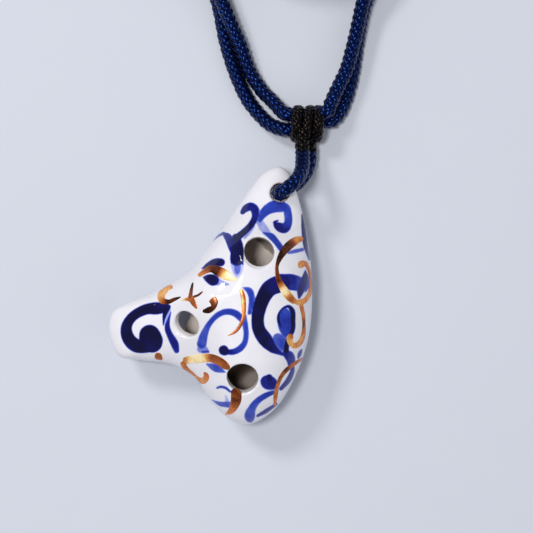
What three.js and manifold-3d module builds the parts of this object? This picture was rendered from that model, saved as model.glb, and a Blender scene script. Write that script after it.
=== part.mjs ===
// Pendant ocarina: a small glazed porcelain vessel flute on a doubled, braided neck cord.
// It lies on its back on a flat surface, millimetres, +Z up. +Y runs from its round bottom to
// its hanging lug, +X to the right of its front, and the mouthpiece points to -X. The origin is
// under the middle of the flute, on the surface. The front and back halves and the mouthpiece
// are luted together with slip and fired as one. The cord is put away in a tied coil.

import * as THREE from 'three';
import { mergeVertices } from 'three/addons/utils/BufferGeometryUtils.js';
import Module from 'manifold-3d';

const wasm = await Module();
wasm.setup();

// Flute body: overall sizes, wall and heights of the two domes over the seam
const bodyWidth = 54.2;
const bodyLength = 68.9;
const frontCrown = 16.5;
const backCrown = 12.4;
const footCut = 0.3;
const wall = 3;
const seamHeight = backCrown - footCut;
const frontRoundness = 2.1;
const backRoundness = 2.5;

// Arms of the body: the mouthpiece and the hanging lug
const mouthFrontHeight = 9;
const mouthBackHeight = 9.5;
const mouthBlendStart = 6;
const mouthBlendEnd = 22;
const lugHeight = 7.4;
const lugBlendStart = 9;
const lugBlendEnd = 25;
const lugFloor = 21;

// Mouthpiece joint, windway, window and labium
const jointFromTip = 15;
const windwayWidth = 8;
const windwayHeight = 1.6;
const windwayFloor = 1.2;
const mouthSlotDrop = 0.4;
const windowLength = 5;
const labiumLength = 9;
const labiumSlope = THREE.MathUtils.degToRad(35);

// Holes: diameters, the soft rounding of their rims and the play of a cut past a face
const upperHole = 7.9;
const leftHole = 7.1;
const lowerHole = 8.2;
const thumbHole = 7.4;
const holeRim = 0.9;
const hangingRim = 0.7;
const overrun = 4;

// Cord: its diameter, the clearance between pieces and its coil
const cordDiameter = 4;
const cordClearance = 0.3;
const hangingPlay = 0.4;
const hangingHole = cordDiameter + 2 * hangingPlay;
const turnGap = 0.55;
const neckStep = 1.25 * cordDiameter;
const connectorStep = cordDiameter / 2;
const coilMiddleDiameters = 11;
const coilTurns = 4.5;
const coilLayers = 2;
const climbTurnShare = 0.5;
const coilCentreX = 21.8;
const coilCentreY = 114;

// Wrap knot round the neck cords
const knotLength = 9.1;
const knotWrapRadius = 5.3;
const knotGroove = 0.7;
const knotFaceRadius = 4.6;
const knotCentreX = 26;
const knotCentreY = 46.3;
const knotCentreZ = 6;

// Tie round the coil
const tieWidth = 5;
const tieThickness = 0.8;
const tieCorner = 2;

// Counts of facets
const outlineSteps = 76;
const domeRings = 11;
const holeSides = 24;
const rimSteps = 3;
const stretchSides = 8;
const coilSides = 6;
const stepsPerTurn = 24;
const wrapSteps = 5;

const glaze = { color: 0xf2f0ee, roughness: 0.12, metalness: 0 };
const braid = { color: 0x0b1138, roughness: 0.55, metalness: 0 };
const tieBand = { color: 0x10132c, roughness: 0.8, metalness: 0 };

// Outline of the flute seen from the front, from the lug's tip round by the right, as shares
// of the body's width and length from its middle
const outlineShares = [
  [0.337, 0.5], [0.387, 0.473], [0.426, 0.395], [0.475, 0.233], [0.5, 0.058],
  [0.485, -0.155], [0.401, -0.341], [0.303, -0.45], [0.18, -0.5], [0.076, -0.469],
  [-0.012, -0.391], [-0.081, -0.314], [-0.195, -0.267], [-0.347, -0.25], [-0.446, -0.236],
  [-0.49, -0.174], [-0.5, -0.112], [-0.48, -0.062], [-0.421, -0.031], [-0.259, 0.023],
  [-0.101, 0.101], [-0.012, 0.186], [0.155, 0.368], [0.254, 0.469],
];
const crownShares = [0.145, 0.012];
const mouthHeadingShares = [-0.645, -0.155];
const lugHeadingShares = [0.197, 0.484];
const lugHoleShares = [0.342, 0.396];
const upperHoleShares = [0.244, 0.171];
const upperLeanShare = 0.3;
const leftHoleShares = [-0.113, -0.109];
const leftLeanShare = 0.5;
const lowerHoleShares = [0.16, -0.314];
const thumbHoleShares = [0.283, -0.213];
const windwayStartShares = [-0.5, -0.14];
const windwayEndShares = [-0.224, -0.116];

// Hand-chosen routes of the free stretches of cord, from the knot outwards, in millimetres
const leftOuterRoute = [
  [21.15, 44.8, 5.2], [20.2, 44.8, 5.2], [18.5, 45.2, 4.6], [15.7, 46.5, 3.3],
  [12.9, 48.8, 2.4], [9.6, 52.6, 2.1], [6.3, 59.4, 2.1], [3.7, 68.7, 2.1], [1.8, 79.1, 2.2],
  [-1.4, 88.5, 2.6], [-4.2, 97.5, 3], [-5.4, 105.4, 3.1], [-5.45, 109.7, 3.1],
];
const leftInnerRoute = [
  [21.15, 48.8, 7], [20.1, 48.8, 7], [18.7, 50.1, 6.1], [16.4, 53, 4.3],
  [14.3, 55.6, 3], [10.7, 61.2, 2.5], [7.7, 68.2, 4.3], [5.3, 73.5, 5.9], [3.1, 78.9, 6.9],
  [-1, 88, 8.6], [-4.2, 97, 10.7], [-5.4, 105.4, 12.2], [-5.45, 109.7, 12.2],
];
const rightOuterRoute = [
  [30.85, 47.2, 3.8], [31.9, 47.2, 3.8], [33.8, 49.5, 2.8], [35.9, 53.4, 2.1],
  [37.9, 59.3, 2.1], [39.4, 66.6, 2.1], [40.6, 73.8, 2.1], [41.8, 78.9, 2.4],
  [44.9, 88, 4], [47.9, 97, 6.3], [49, 105.4, 7.65], [49.05, 109.7, 7.65],
];
const rightInnerRoute = [
  [30.85, 49.3, 8.3], [31.8, 49.3, 8.3], [33, 51.7, 7.9], [34.5, 55.5, 7.1],
  [36.6, 61, 6.5], [38, 66, 6.4], [39, 70, 6.4], [40.1, 75, 6.6], [40.9, 78.7, 7.2],
  [44.3, 88.2, 10.8], [47.7, 97, 14.8], [49, 105.4, 16.75], [49.05, 109.7, 16.75],
];
const connectorRoute = [
  [24.5, 40.5, 9.4], [24.6, 38.6, 10], [24.6, 36, 12.2], [24.3, 33.4, 15.2],
  [23.2, 31, 17.8], [21.4, 29.2, 19], [20.1, 28.1, 18.7], [19, 27.5, 17.2],
  [18.6, 27.3, 15], [18.56, 27.3, 12.1], [18.6, 27.3, 9.2], [18.95, 27.5, 6.9],
  [20.1, 28.1, 5.2], [22, 29.3, 4.7], [24.2, 31.2, 4.7], [25.9, 33.8, 4.7],
  [26.6, 36.6, 4.8], [26.7, 38.6, 4.8], [26.6, 40.5, 4.8],
];

const { lerp, smoothstep } = THREE.MathUtils;

/** A point of the plan, from its shares of the body's width and length. */
function planPoint([acrossShare, alongShare]) {
  return new THREE.Vector2(acrossShare * bodyWidth, alongShare * bodyLength);
}

/** A closed geometry as a solid with its faces out, made of shared corner points only. */
function toSolid(geometry) {
  const bare = geometry.clone();
  bare.deleteAttribute('normal');
  bare.deleteAttribute('uv');
  const merged = mergeVertices(bare);
  const vertProperties = new Float32Array(merged.attributes.position.array);
  const triVerts = new Uint32Array(merged.index.array);
  if (signedVolume(vertProperties, triVerts) < 0) triVerts.reverse();
  return new wasm.Manifold(new wasm.Mesh({ numProp: 3, vertProperties, triVerts }));
}

/** Six times the volume inside a triangle mesh, below zero where its faces point in. */
function signedVolume(corners, triangles) {
  const corner = (i) => new THREE.Vector3().fromArray(corners, 3 * i);
  let total = 0;
  for (let i = 0; i < triangles.length; i += 3) {
    const [a, b, c] = [0, 1, 2].map((step) => corner(triangles[i + step]));
    total += a.dot(b.cross(c));
  }
  return total;
}

/** A named mesh of the part from a solid. */
function namedMesh(name, solid, finish) {
  const { vertProperties, triVerts } = solid.getMesh();
  const geometry = new THREE.BufferGeometry();
  geometry.setAttribute('position', new THREE.BufferAttribute(vertProperties, 3));
  geometry.setIndex(new THREE.BufferAttribute(triVerts, 1));
  geometry.computeVertexNormals();
  const mesh = new THREE.Mesh(geometry, new THREE.MeshStandardMaterial(finish));
  mesh.name = name;
  return mesh;
}

/** A block between two corners, as a solid. */
function block(low, high) {
  const size = high.clone().sub(low);
  const geometry = new THREE.BoxGeometry(size.x, size.y, size.z);
  geometry.translate(...low.clone().addScaledVector(size, 0.5).toArray());
  return toSolid(geometry);
}

/** The body's outline as evenly spaced points round the middle of its box. */
function bodyOutline() {
  const through = outlineShares.map(planPoint).map((p) => new THREE.Vector3(p.x, p.y, 0));
  const curve = new THREE.CatmullRomCurve3(through, true, 'centripetal');
  const points = curve.getSpacedPoints(outlineSteps).slice(0, -1);
  const middle = new THREE.Box3().setFromPoints(points).getCenter(new THREE.Vector3());
  return points.map((p) => new THREE.Vector2(p.x - middle.x, p.y - middle.y));
}

/** An outline drawn in by a distance, square to itself. It runs clockwise. */
function drawnIn(outline, distance) {
  const count = outline.length;
  return outline.map((p, i) => {
    const along = outline[(i + 1) % count].clone().sub(outline[(i + count - 1) % count]);
    const inward = new THREE.Vector2(along.y, -along.x).normalize();
    return p.clone().addScaledVector(inward, distance);
  });
}

const outline = bodyOutline();
const crown = planPoint(crownShares);
const mouthHeading = planPoint(mouthHeadingShares).normalize();
const lugHeading = planPoint(lugHeadingShares).normalize();
const front = {
  side: 1, crown: frontCrown, mouth: mouthFrontHeight, lug: lugHeight, roundness: frontRoundness,
};
const back = {
  side: -1, crown: backCrown, mouth: mouthBackHeight, lug: lugHeight, roundness: backRoundness,
};

/** Height of a dome over the seam before its rim falls away: lower along the two arms. */
function domeHeight(plan, dome) {
  const out = plan.clone().sub(crown);
  const towardMouth = smoothstep(out.dot(mouthHeading), mouthBlendStart, mouthBlendEnd);
  const towardLug = smoothstep(out.dot(lugHeading), lugBlendStart, lugBlendEnd);
  return lerp(lerp(dome.crown, dome.mouth, towardMouth), dome.lug, towardLug);
}

/** Share of the dome's height that is left at a share of the way from crown to outline. */
function rimFall(share, roundness) {
  return (1 - share ** roundness) ** (1 / roundness);
}

/** Point of a dome drawn in by a thickness, a share of the way out to a point of its outline. */
function domePoint(edge, share, dome, thickness) {
  const plan = crown.clone().lerp(edge, share);
  const height = (domeHeight(plan, dome) - thickness) * rimFall(share, dome.roundness);
  return [plan.x, plan.y, seamHeight + dome.side * height];
}

/** A dome over an outline, closed by a flat face in the plane of the seam. */
function domeSolid(edges, dome, thickness) {
  const count = edges.length;
  const positions = [...domePoint(edges[0], 0, dome, thickness), crown.x, crown.y, seamHeight];
  for (let ring = 1; ring <= domeRings; ring += 1) {
    const share = ring < domeRings ? Math.sin((Math.PI / 2) * (ring / domeRings)) : 1;
    edges.forEach((edge) => positions.push(...domePoint(edge, share, dome, thickness)));
  }
  const at = (ring, i) => 2 + (ring - 1) * count + (i % count);
  const triangles = [];
  for (let i = 0; i < count; i += 1) {
    triangles.push(0, at(1, i), at(1, i + 1));
    for (let ring = 1; ring < domeRings; ring += 1) {
      triangles.push(at(ring, i), at(ring + 1, i), at(ring + 1, i + 1));
      triangles.push(at(ring, i), at(ring + 1, i + 1), at(ring, i + 1));
    }
    triangles.push(1, at(domeRings, i + 1), at(domeRings, i));
  }
  const geometry = new THREE.BufferGeometry();
  geometry.setAttribute('position', new THREE.Float32BufferAttribute(positions, 3));
  geometry.setIndex(triangles);
  return toSolid(geometry);
}

/** Share of the way from the crown to the outline at which a point of the plan lies. */
function shareOut(plan) {
  const out = plan.clone().sub(crown);
  const reaches = outline.map((a, i) => {
    const b = outline[(i + 1) % outline.length];
    const edge = b.clone().sub(a);
    const toA = a.clone().sub(crown);
    const turn = out.cross(edge);
    const along = toA.cross(out) / turn;
    const reach = toA.cross(edge) / turn;
    return along >= 0 && along <= 1 && reach > 0 ? reach : 0;
  });
  return 1 / Math.max(...reaches);
}

/** Height of a dome's outer face at a point of the plan. */
function surfaceHeight(plan, dome) {
  return seamHeight + dome.side * domeHeight(plan, dome) * rimFall(shareOut(plan), dome.roundness);
}

/** Point and outward direction of a dome's outer face at a point of the plan. */
function surfaceSeat(plan, dome) {
  const step = wall / 2;
  const rise = (dx, dy) => surfaceHeight(plan.clone().add(new THREE.Vector2(dx, dy)), dome);
  const slopeX = (rise(step, 0) - rise(-step, 0)) / (2 * step);
  const slopeY = (rise(0, step) - rise(0, -step)) / (2 * step);
  const normal = new THREE.Vector3(-slopeX, -slopeY, 1).multiplyScalar(dome.side).normalize();
  return { point: new THREE.Vector3(plan.x, plan.y, surfaceHeight(plan, dome)), normal };
}

/** Points of a rim's rounding: a quarter round from a bore out to the face it opens in. */
function rimCurve(radius, rounding, face, side) {
  return Array.from({ length: rimSteps + 1 }, (_, i) => {
    const turn = (Math.PI / 2) * (i / rimSteps);
    const out = radius + rounding * (1 - Math.cos(turn));
    return new THREE.Vector2(out, face - side * rounding * (1 - Math.sin(turn)));
  });
}

/** A cutter for a hole that leans from upright toward square to a dome, with a soft rim. */
function holeCutter(shares, dome, diameter, leanShare = 1) {
  const { point, normal } = surfaceSeat(planPoint(shares), dome);
  const heading = new THREE.Vector3(0, 0, dome.side).lerp(normal, leanShare).normalize();
  const radius = diameter / 2;
  const profile = [
    new THREE.Vector2(0, -wall - overrun / 2),
    new THREE.Vector2(radius, -wall - overrun / 2),
    ...rimCurve(radius, holeRim, 0, 1),
    new THREE.Vector2(radius + holeRim, overrun),
    new THREE.Vector2(0, overrun),
  ];
  const geometry = new THREE.LatheGeometry(profile, holeSides);
  const upright = new THREE.Vector3(0, 1, 0);
  geometry.applyQuaternion(new THREE.Quaternion().setFromUnitVectors(upright, heading));
  geometry.translate(...point.toArray());
  return toSolid(geometry);
}

/** A cutter for the hanging hole, straight through the lug and rounded at both faces. */
function hangingHoleCutter() {
  const plan = planPoint(lugHoleShares);
  const radius = hangingHole / 2;
  const top = surfaceHeight(plan, front);
  const bottom = surfaceHeight(plan, back);
  const profile = [
    new THREE.Vector2(0, bottom - overrun),
    new THREE.Vector2(radius + hangingRim, bottom - overrun),
    ...rimCurve(radius, hangingRim, bottom, -1).reverse(),
    ...rimCurve(radius, hangingRim, top, 1),
    new THREE.Vector2(radius + hangingRim, top + overrun),
    new THREE.Vector2(0, top + overrun),
  ];
  const geometry = new THREE.LatheGeometry(profile, holeSides);
  geometry.rotateX(Math.PI / 2);
  geometry.translate(plan.x, plan.y, 0);
  return toSolid(geometry);
}

const tipX = -bodyWidth / 2;
const jointX = tipX + jointFromTip;
const bodyLow = new THREE.Vector3(tipX - overrun, -bodyLength, -overrun);
const bodyHigh = new THREE.Vector3(bodyWidth, bodyLength, seamHeight + frontCrown + overrun);

/** Everything on the mouth side of the joint between the mouthpiece and the body. */
function mouthSide() {
  return block(bodyLow, new THREE.Vector3(jointX, bodyHigh.y, bodyHigh.z));
}

/** The hollow inside the body, which ends flat at the joint and short of the solid lug. */
function chamberSolid() {
  const inner = drawnIn(outline, wall);
  const hollow = domeSolid(inner, front, wall).add(domeSolid(inner, back, wall));
  const lugEnd = new THREE.BoxGeometry(bodyLength, bodyLength, bodyLength);
  lugEnd.translate(0, lugFloor + bodyLength / 2, 0);
  lugEnd.rotateZ(Math.atan2(lugHeading.y, lugHeading.x) - Math.PI / 2);
  lugEnd.translate(crown.x, crown.y, seamHeight);
  return hollow.subtract(toSolid(lugEnd)).subtract(mouthSide());
}

/** Plan point and height of the windway's middle where it meets the joint. */
function windwayExit() {
  const plan = planPoint(windwayEndShares);
  plan.x = jointX;
  const floor = surfaceHeight(plan, back) + windwayFloor;
  return new THREE.Vector3(plan.x, plan.y, floor + windwayHeight / 2);
}

/** The slot that carries the breath from the mouth end down to the window. */
function windwayCutter() {
  const mouth = planPoint(windwayStartShares);
  const start = new THREE.Vector3(mouth.x, mouth.y, seamHeight - mouthSlotDrop);
  const end = windwayExit();
  const run = end.clone().sub(start);
  const geometry = new THREE.BoxGeometry(run.length() + 2 * overrun, windwayWidth, windwayHeight);
  geometry.applyQuaternion(
    new THREE.Quaternion().setFromUnitVectors(new THREE.Vector3(1, 0, 0), run.normalize()));
  geometry.translate(...start.add(end).multiplyScalar(0.5).toArray());
  return toSolid(geometry);
}

/** The window in the back past the joint, and the ramp that leaves the labium's edge. */
function windowCutter() {
  const exit = windwayExit();
  const far = jointX + windowLength;
  const low = -overrun;
  const rampEnd = far + labiumLength;
  const edge = surfaceHeight(new THREE.Vector2(far, exit.y), back) + wall;
  const shape = new THREE.Shape([
    new THREE.Vector2(jointX - overrun, low),
    new THREE.Vector2(rampEnd, low),
    new THREE.Vector2(rampEnd, edge - labiumLength * Math.tan(labiumSlope)),
    new THREE.Vector2(far, edge),
    new THREE.Vector2(far, exit.z + windwayHeight),
    new THREE.Vector2(jointX - overrun, exit.z + windwayHeight),
  ]);
  const geometry = new THREE.ExtrudeGeometry(shape, { depth: windwayWidth, bevelEnabled: false });
  geometry.rotateX(Math.PI / 2);
  geometry.translate(0, exit.y + windwayWidth / 2, 0);
  return toSolid(geometry);
}

/** Everything under the surface that the flute rests on, which gives its back a small flat. */
function underSurface() {
  return block(bodyLow, new THREE.Vector3(bodyHigh.x, bodyHigh.y, 0));
}

/** The porcelain pieces: the two halves and the mouthpiece. */
function porcelain() {
  const frontDome = domeSolid(outline, front, 0);
  const backDome = domeSolid(outline, back, 0).subtract(underSurface());
  const hanging = hangingHoleCutter();
  const hollow = chamberSolid().add(hanging);
  const mouth = mouthSide();
  const frontShell = frontDome.subtract(mouth).subtract(hollow)
    .subtract(holeCutter(upperHoleShares, front, upperHole, upperLeanShare))
    .subtract(holeCutter(leftHoleShares, front, leftHole, leftLeanShare))
    .subtract(holeCutter(lowerHoleShares, front, lowerHole));
  const backShell = backDome.subtract(mouth).subtract(hollow)
    .subtract(holeCutter(thumbHoleShares, back, thumbHole))
    .subtract(windowCutter());
  const mouthpiece = frontDome.add(backDome).intersect(mouth).subtract(windwayCutter());
  return [
    namedMesh('front_shell', frontShell, glaze),
    namedMesh('back_shell', backShell, glaze),
    namedMesh('mouthpiece', mouthpiece, glaze),
  ];
}

/** A regular section of a cord with a number of sides. */
function cordSection(sides) {
  return new THREE.Shape(Array.from({ length: sides }, (_, i) => {
    const turn = (2 * Math.PI * i) / sides;
    return new THREE.Vector2(Math.cos(turn), Math.sin(turn)).multiplyScalar(cordDiameter / 2);
  }));
}

/** A free stretch of cord along its route. */
function cordStretch(name, route, stepLength) {
  const curve = new THREE.CatmullRomCurve3(route.map((p) => new THREE.Vector3(...p)));
  const steps = Math.round(curve.getLength() / stepLength);
  const geometry = new THREE.ExtrudeGeometry(cordSection(stretchSides), {
    steps, extrudePath: curve, bevelEnabled: false,
  });
  return namedMesh(name, toSolid(geometry), braid);
}

const turnPitch = cordDiameter + turnGap;
const coilRadius = (coilMiddleDiameters * cordDiameter) / 2;
const innerRadius = coilRadius - (turnPitch * coilTurns) / 4;
const lowestTurn = tieThickness + cordClearance + cordDiameter / 2;

/** Middle line of one neck cord's coil: clockwise in to the middle, up a layer, and out. */
function coilLine(firstLayer) {
  const steps = coilTurns * stepsPerTurn;
  const turned = coilTurns / 2;
  const points = Array.from({ length: steps + 1 }, (_, i) => {
    const turn = i / stepsPerTurn;
    const radius = innerRadius + turnPitch * Math.abs(turn - turned);
    const angle = Math.PI - 2 * Math.PI * turn;
    const climb = smoothstep(turn, turned - climbTurnShare / 2, turned + climbTurnShare / 2);
    return new THREE.Vector3(
      coilCentreX + radius * Math.cos(angle),
      coilCentreY + radius * Math.sin(angle),
      lowestTurn + turnPitch * (firstLayer + climb),
    );
  });
  const straight = new THREE.Vector3(0, -cordDiameter, 0);
  return [points[0].clone().add(straight), ...points, points.at(-1).clone().add(straight)];
}

/** One unbroken tube along a coil's line, with its sections upright and square to the line. */
function coilTube(line) {
  const up = new THREE.Vector3(0, 0, 1);
  const positions = [];
  line.forEach((centre, i) => {
    const ahead = line[Math.min(i + 1, line.length - 1)];
    const behind = line[Math.max(i - 1, 0)];
    const heading = ahead.clone().sub(behind).normalize();
    const outward = heading.clone().cross(up).normalize();
    const above = outward.clone().cross(heading);
    for (let side = 0; side < coilSides; side += 1) {
      const turn = (2 * Math.PI * (side + 0.5)) / coilSides;
      const rim = centre.clone()
        .addScaledVector(outward, (cordDiameter / 2) * Math.cos(turn))
        .addScaledVector(above, (cordDiameter / 2) * Math.sin(turn));
      positions.push(...rim.toArray());
    }
  });
  const at = (ring, side) => ring * coilSides + (side % coilSides);
  const triangles = [];
  for (let side = 0; side < coilSides; side += 1) {
    for (let ring = 0; ring < line.length - 1; ring += 1) {
      triangles.push(at(ring, side), at(ring + 1, side), at(ring + 1, side + 1));
      triangles.push(at(ring, side), at(ring + 1, side + 1), at(ring, side + 1));
    }
    if (side > 0 && side < coilSides - 1) {
      triangles.push(at(0, 0), at(0, side), at(0, side + 1));
      triangles.push(at(line.length - 1, 0), at(line.length - 1, side + 1), at(line.length - 1, side));
    }
  }
  const geometry = new THREE.BufferGeometry();
  geometry.setAttribute('position', new THREE.Float32BufferAttribute(positions, 3));
  geometry.setIndex(triangles);
  return toSolid(geometry);
}

/** Least gap between turns of a coil, measured from point to stretch along its line. */
function leastGap(line) {
  const nearest = new THREE.Vector3();
  const stretch = new THREE.Line3();
  let least = Infinity;
  for (let i = 0; i < line.length; i += 1) {
    for (let j = i + stepsPerTurn / 2; j < line.length - 1; j += 1) {
      stretch.set(line[j], line[j + 1]).closestPointToPoint(line[i], true, nearest);
      least = Math.min(least, nearest.distanceTo(line[i]) - cordDiameter);
    }
  }
  return least;
}

/** One neck cord's coil, whose least gap to itself is printed. */
function neckCoil(name, firstLayer) {
  const line = coilLine(firstLayer);
  console.log(`${name}: least gap between turns ${leastGap(line).toFixed(2)} mm`);
  return namedMesh(name, coilTube(line), braid);
}

/** The knot of the connector cord: two wraps side by side round the pair of neck cords. */
function wrapKnot() {
  const half = knotLength / 2;
  const profile = [new THREE.Vector2(0, -half), new THREE.Vector2(knotFaceRadius, -half)];
  [-1, 1].forEach((side) => {
    for (let i = 1; i < 2 * wrapSteps; i += 1) {
      const turn = (Math.PI * i) / (2 * wrapSteps);
      const along = (side * half) / 2 - (half / 2) * Math.cos(turn);
      const base = side * Math.cos(turn) < 0 ? knotWrapRadius - knotGroove : knotFaceRadius;
      profile.push(new THREE.Vector2(lerp(base, knotWrapRadius, Math.sin(turn)), along));
    }
    if (side < 0) profile.push(new THREE.Vector2(knotWrapRadius - knotGroove, 0));
  });
  profile.push(new THREE.Vector2(knotFaceRadius, half), new THREE.Vector2(0, half));
  const geometry = new THREE.LatheGeometry(profile, holeSides);
  geometry.rotateZ(-Math.PI / 2);
  geometry.translate(knotCentreX, knotCentreY, knotCentreZ);
  return namedMesh('wrap_knot', toSolid(geometry), braid);
}

/** A rectangle with round corners as a path, for the tie's inner and outer outlines. */
function roundedRectangle(path, lowX, lowY, highX, highY, corner) {
  path.moveTo(lowX + corner, lowY);
  path.absarc(highX - corner, lowY + corner, corner, -Math.PI / 2, 0);
  path.absarc(highX - corner, highY - corner, corner, 0, Math.PI / 2);
  path.absarc(lowX + corner, highY - corner, corner, Math.PI / 2, Math.PI);
  path.absarc(lowX + corner, lowY + corner, corner, Math.PI, 1.5 * Math.PI);
  return path;
}

/** The band that ties the two coils together, on the side away from the flute. */
function coilTie() {
  const cordRadius = cordDiameter / 2;
  const play = cordRadius + cordClearance;
  const bore = Math.sqrt((innerRadius - cordRadius) ** 2 - (tieWidth / 2) ** 2) - cordClearance;
  const quarterTurn = 0.25;
  const rim = innerRadius + turnPitch * (coilTurns / 2 - quarterTurn) + play;
  const ceiling = lowestTurn + (2 * coilLayers - 1) * turnPitch + play;
  const t = tieThickness;
  const band = roundedRectangle(
    new THREE.Shape(), bore - t, 0, rim + t, ceiling + t, tieCorner + t);
  band.holes.push(roundedRectangle(new THREE.Path(), bore, t, rim, ceiling, tieCorner));
  const geometry = new THREE.ExtrudeGeometry(band, {
    depth: tieWidth, bevelEnabled: false, curveSegments: 4,
  });
  geometry.rotateX(Math.PI / 2);
  geometry.rotateZ(Math.PI / 2);
  geometry.translate(coilCentreX - tieWidth / 2, coilCentreY, 0);
  return namedMesh('coil_tie', toSolid(geometry), tieBand);
}

const group = new THREE.Group();
group.add(
  ...porcelain(),
  cordStretch('connector_loop', connectorRoute, connectorStep),
  wrapKnot(),
  cordStretch('neck_cord_left_outer', leftOuterRoute, neckStep),
  cordStretch('neck_cord_left_inner', leftInnerRoute, neckStep),
  cordStretch('neck_cord_right_outer', rightOuterRoute, neckStep),
  cordStretch('neck_cord_right_inner', rightInnerRoute, neckStep),
  neckCoil('coil_lower', 0),
  neckCoil('coil_upper', coilLayers),
  coilTie(),
);

export default group;
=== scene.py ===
"""Looks of a pendant ocarina: a small glazed porcelain vessel flute on a braided neck cord.

The flute lies on its back on a pale floor and is seen straight from above, as in the photograph.
The porcelain follows the same form as the solids of the frame: two domes on one seam, pressed out
of a sphere. Its scrolls are cobalt under the glaze and gilt on it. The cords are real eight strand
braids along the routes of the solids, and what the photograph doesn't show is put away in a coil.
"""

import logging
import math
from dataclasses import dataclass, field
from enum import Enum
from itertools import pairwise

import bpy
import numpy as np
from bpy.types import Material, Node, NodeSocket, Object
from mathutils import Matrix, Quaternion, Vector


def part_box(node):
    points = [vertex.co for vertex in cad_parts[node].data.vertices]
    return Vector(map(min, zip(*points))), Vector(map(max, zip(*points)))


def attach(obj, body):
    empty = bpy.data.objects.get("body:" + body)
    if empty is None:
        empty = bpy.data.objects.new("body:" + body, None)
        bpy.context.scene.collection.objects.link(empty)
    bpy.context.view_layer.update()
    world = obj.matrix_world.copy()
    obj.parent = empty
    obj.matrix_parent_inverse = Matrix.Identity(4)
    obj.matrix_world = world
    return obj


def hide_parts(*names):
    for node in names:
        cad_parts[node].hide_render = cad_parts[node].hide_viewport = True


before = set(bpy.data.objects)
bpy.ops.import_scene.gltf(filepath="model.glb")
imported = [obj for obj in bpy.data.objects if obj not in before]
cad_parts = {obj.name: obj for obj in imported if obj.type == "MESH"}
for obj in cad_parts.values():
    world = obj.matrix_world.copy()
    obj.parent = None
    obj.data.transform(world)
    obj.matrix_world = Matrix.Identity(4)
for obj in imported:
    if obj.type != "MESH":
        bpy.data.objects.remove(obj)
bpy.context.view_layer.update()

LOG = logging.getLogger("ocarina")
MILLIMETRE = 0.001
FULL_TURN = 2 * math.pi
QUARTER_TURN = math.pi / 2
TINY = 1e-12

# The height of the flute's seam, and the eye's place over it in plan and in height
SEAM = 0.0121
EYE = (0.01495, 0.0077)
EYE_HEIGHT = 0.45


# Working with objects and meshes


def choose(obj: Object) -> None:
    """Selects one object alone and makes it the active one."""
    choose_none()
    obj.select_set(True)
    bpy.context.view_layer.objects.active = obj


def choose_none() -> None:
    """Leaves nothing selected."""
    bpy.ops.object.select_all(action="DESELECT")


def shape_with(obj: Object, kind: str, **settings: object) -> None:
    """Gives an object a modifier and applies it.

    Args:
        obj: The object to shape.
        kind: The modifier's type.
        settings: The modifier's own settings.
    """
    choose(obj)
    modifier = obj.modifiers.new(kind.lower(), kind)
    for key, value in settings.items():
        setattr(modifier, key, value)
    bpy.ops.object.modifier_apply(modifier=modifier.name)


def cut_away(obj: Object, cutter: Object) -> None:
    """Takes a cutter's form out of an object and removes the cutter."""
    shape_with(obj, "BOOLEAN", operation="DIFFERENCE", solver="EXACT", object=cutter)
    bpy.data.objects.remove(cutter)


def mesh_points(obj: Object) -> np.ndarray:
    """The places of a mesh's vertices, one row each."""
    places = np.empty(3 * len(obj.data.vertices))
    obj.data.vertices.foreach_get("co", places)
    return places.reshape(-1, 3)


def place_points(obj: Object, points: np.ndarray) -> None:
    """Puts a mesh's vertices in new places."""
    obj.data.vertices.foreach_set("co", points.astype(np.float32).ravel())
    obj.data.update()


def mesh_normals(obj: Object) -> np.ndarray:
    """The directions that a mesh's vertices face, one row each."""
    normals = np.empty(3 * len(obj.data.vertices))
    obj.data.vertex_normals.foreach_get("vector", normals)
    return normals.reshape(-1, 3)


def face_outward(obj: Object) -> None:
    """Turns the faces of a closed mesh outward."""
    choose(obj)
    bpy.ops.object.mode_set(mode="EDIT")
    bpy.ops.mesh.select_all(action="SELECT")
    bpy.ops.mesh.normals_make_consistent(inside=False)
    bpy.ops.object.mode_set(mode="OBJECT")


def new_piece(name: str, points: np.ndarray, faces: list) -> Object:
    """A smooth shaded mesh object from points and faces."""
    mesh = bpy.data.meshes.new(name)
    mesh.from_pydata(points.tolist(), [], faces)
    mesh.update()
    mesh.shade_smooth()
    obj = bpy.data.objects.new(name, mesh)
    bpy.context.scene.collection.objects.link(obj)
    return obj


def lattice(rows: int, columns: int, rows_meet: bool = False,
            columns_meet: bool = True) -> np.ndarray:
    """The faces between rows of points, each by the numbers of its four corners.

    Args:
        rows: Count of rows.
        columns: Count of points in a row.
        rows_meet: Whether the last row joins the first.
        columns_meet: Whether each row is a ring.
    """
    row = np.arange(rows if rows_meet else rows - 1)[:, None]
    column = np.arange(columns if columns_meet else columns - 1)[None]
    start, after = row * columns, (row + 1) % rows * columns
    beside = (column + 1) % columns
    corners = [start + column, start + beside, after + beside, after + column]
    return np.stack(corners, -1).reshape(-1, 4)


def end_faces(rows: int, columns: int, start: int = 0) -> list:
    """The two faces that close a row of rings, whose first point has the start's number."""
    last = start + (rows - 1) * columns
    return [tuple(range(start, start + columns))[::-1], tuple(range(last, last + columns))]


def record_values(obj: Object, name: str, values: np.ndarray) -> None:
    """Keeps one number per vertex under a name that the object's finish reads."""
    layer = obj.data.attributes.new(name, "FLOAT", "POINT")
    layer.data.foreach_set("value", values.astype(np.float32))


def block(name: str, size: tuple, centre: Vector, turn: Quaternion) -> Object:
    """A box for cutting.

    Args:
        name: Name of the new object.
        size: Lengths of its sides.
        centre: Place of its middle.
        turn: How it is turned about its middle.

    Returns:
        The new object.
    """
    choose_none()
    bpy.ops.mesh.primitive_cube_add(size=1)
    obj = bpy.context.object
    obj.name = name
    obj.data.transform(Matrix.LocRotScale(centre, turn, Vector(size)))
    return obj


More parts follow.
